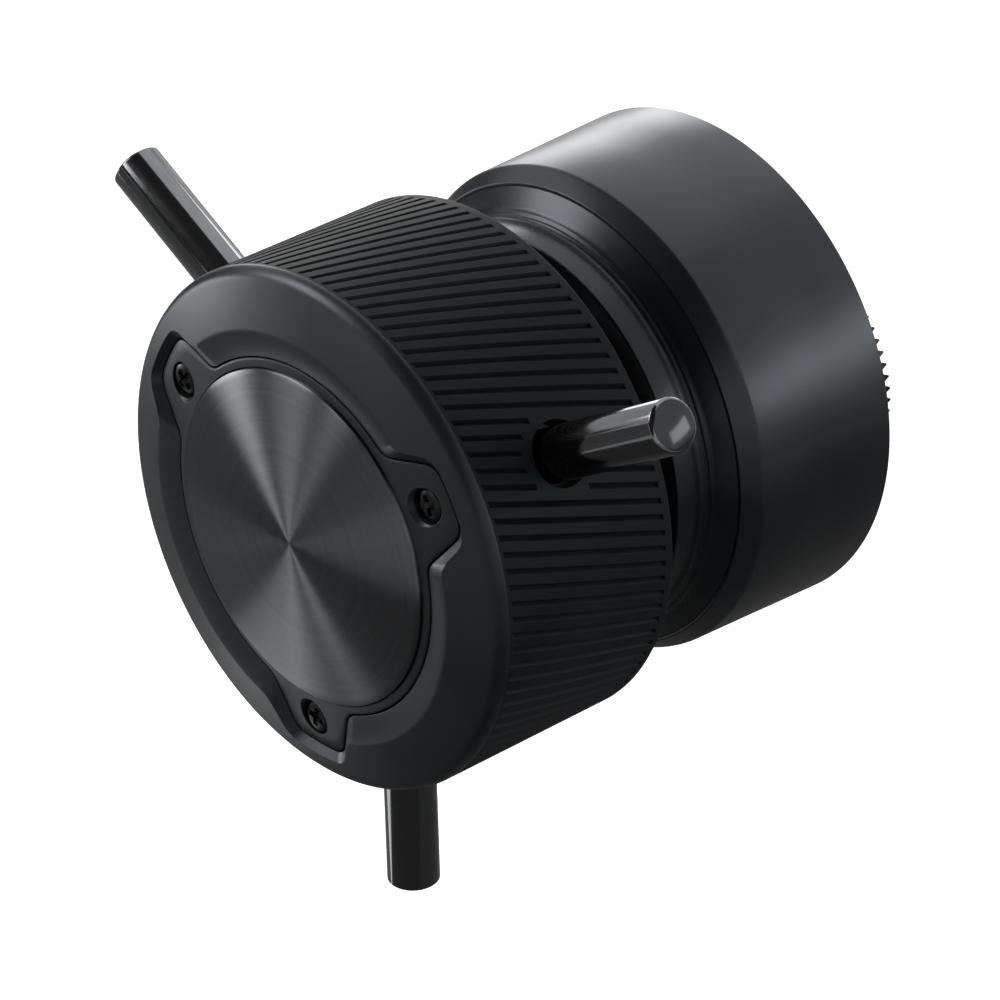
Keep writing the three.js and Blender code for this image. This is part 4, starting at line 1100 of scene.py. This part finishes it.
def add_camera():
    azimuth, elevation, roll = (math.radians(angle) for angle in CAMERA_ANGLES)
    back = Vector((math.sin(azimuth) * math.cos(elevation), -math.cos(azimuth) * math.cos(elevation),
                   math.sin(elevation)))
    right = Vector((math.cos(azimuth), math.sin(azimuth), 0))
    up = back.cross(right)
    across = right * math.cos(roll) + up * math.sin(roll)
    over = up * math.cos(roll) - right * math.sin(roll)
    place = across * CAMERA_OFFSET[0] + over * CAMERA_OFFSET[1] + back * CAMERA_DISTANCE
    place += Vector(CAMERA_TARGET)
    camera = bpy.data.cameras.new("camera")
    camera.sensor_width = SENSOR_WIDTH
    camera.lens = FOCAL_PIXELS * SENSOR_WIDTH / PICTURE_PIXELS
    camera.clip_start = CLIP_START
    camera.clip_end = CLIP_END
    holder = bpy.data.objects.new("camera", camera)
    bpy.context.scene.collection.objects.link(holder)
    holder.matrix_world = Matrix.Translation(place * MM) @ Matrix((across, over, back)).transposed().to_4x4()
    bpy.context.scene.camera = holder


def add_lamp(name, place, target, width, power, height):
    lamp = bpy.data.lights.new(name, "AREA")
    lamp.shape = "RECTANGLE"
    lamp.size = width
    lamp.size_y = height
    lamp.energy = power
    holder = bpy.data.objects.new(name, lamp)
    holder.location = Vector(place)
    holder.rotation_euler = (Vector(target) - Vector(place)).to_track_quat("-Z", "Y").to_euler()
    bpy.context.scene.collection.objects.link(holder)


def add_card(name, corners, glow):
    """A studio card that only reflections see, to darken or brighten them."""
    card = mesh_object(name, [Vector(corner) for corner in corners], [[0, 1, 2, 3]])
    look = Look(name, (0.01, 0.01, 0.01), 0.0, 0.9)
    look.shader.inputs["Emission Color"].default_value = (1, 1, 1, 1)
    look.shader.inputs["Emission Strength"].default_value = glow
    card.data.materials.append(look.material)
    card.visible_camera = False
    card.visible_diffuse = False
    card.visible_transmission = False
    card.visible_shadow = False


def add_level_card(name, low, high, level, glow):
    add_card(name, [(low[0], low[1], level), (high[0], low[1], level), (high[0], high[1], level),
                    (low[0], high[1], level)], glow)


def add_facing_card(name, centre, width, height, glow):
    """A card that faces the object."""
    centre = Vector(centre)
    normal = -centre.normalized()
    across = normal.cross(Vector((0, 0, 1))).normalized()
    over = across.cross(normal)
    add_card(name, [centre + across * (width / 2 * sx) + over * (height / 2 * sz) for sx, sz in CORNERS],
             glow)


def add_world():
    """White where the camera, glossy and transmission rays see it, and a plain level of light otherwise."""
    world = bpy.data.worlds.new("studio")
    bpy.context.scene.world = world
    world.use_nodes = True
    nodes = world.node_tree.nodes
    links = world.node_tree.links
    background = nodes["Background"]
    path = nodes.new("ShaderNodeLightPath")
    through = nodes.new("ShaderNodeMath")
    through.operation = "MAXIMUM"
    links.new(path.outputs["Is Glossy Ray"], through.inputs[0])
    links.new(path.outputs["Is Transmission Ray"], through.inputs[1])
    seen = nodes.new("ShaderNodeMath")
    seen.operation = "MAXIMUM"
    links.new(path.outputs["Is Camera Ray"], seen.inputs[0])
    links.new(through.outputs[0], seen.inputs[1])
    mixed = nodes.new("ShaderNodeMix")
    mixed.data_type = "FLOAT"
    mixed.inputs["A"].default_value = WORLD_LIGHT
    mixed.inputs["B"].default_value = 1.0
    links.new(seen.outputs[0], mixed.inputs["Factor"])
    background.inputs["Color"].default_value = (1, 1, 1, 1)
    links.new(mixed.outputs["Result"], background.inputs["Strength"])


def add_floor():
    size = FLOOR_HALF
    level = FLOOR_LEVEL
    points = [(-size, -size, level), (size, -size, level), (size, size, level), (-size, size, level)]
    floor = mesh_object("floor", points, [[0, 1, 2, 3]])
    look = Look("pale_floor", (0.8, 0.8, 0.8), 0.0, 0.6)
    look.set("Base Color", look.tint(look.noise(40, 5), (0.79, 0.79, 0.79), (0.81, 0.81, 0.81)))
    path = look.nodes.new("ShaderNodeLightPath")
    glow = look.nodes.new("ShaderNodeEmission")
    look.links.new(look.scaled(path.outputs["Is Camera Ray"], FLOOR_GLOW), glow.inputs["Strength"])
    both = look.nodes.new("ShaderNodeAddShader")
    look.links.new(look.shader.outputs["BSDF"], both.inputs[0])
    look.links.new(glow.outputs["Emission"], both.inputs[1])
    look.links.new(both.outputs["Shader"], look.nodes["Material Output"].inputs["Surface"])
    floor.data.materials.append(look.material)


dress_nodes()
add_camera()
add_world()
add_floor()
for card in LEVEL_CARDS:
    add_level_card(*card)
for card in FACING_CARDS:
    add_facing_card(*card)
add_card("card_over_front", OVER_CARD, OVER_CARD_GLOW)
for lamp in LAMPS:
    add_lamp(*lamp)
build_wheel()
build_plate()
build_disc()
build_plate_screws()
build_spokes()
build_hub()
build_shell()
build_neck()
build_cover()
build_cover_screws()
build_sockets()
build_rosette()

scene = bpy.context.scene
scene.view_settings.view_transform = "Standard"
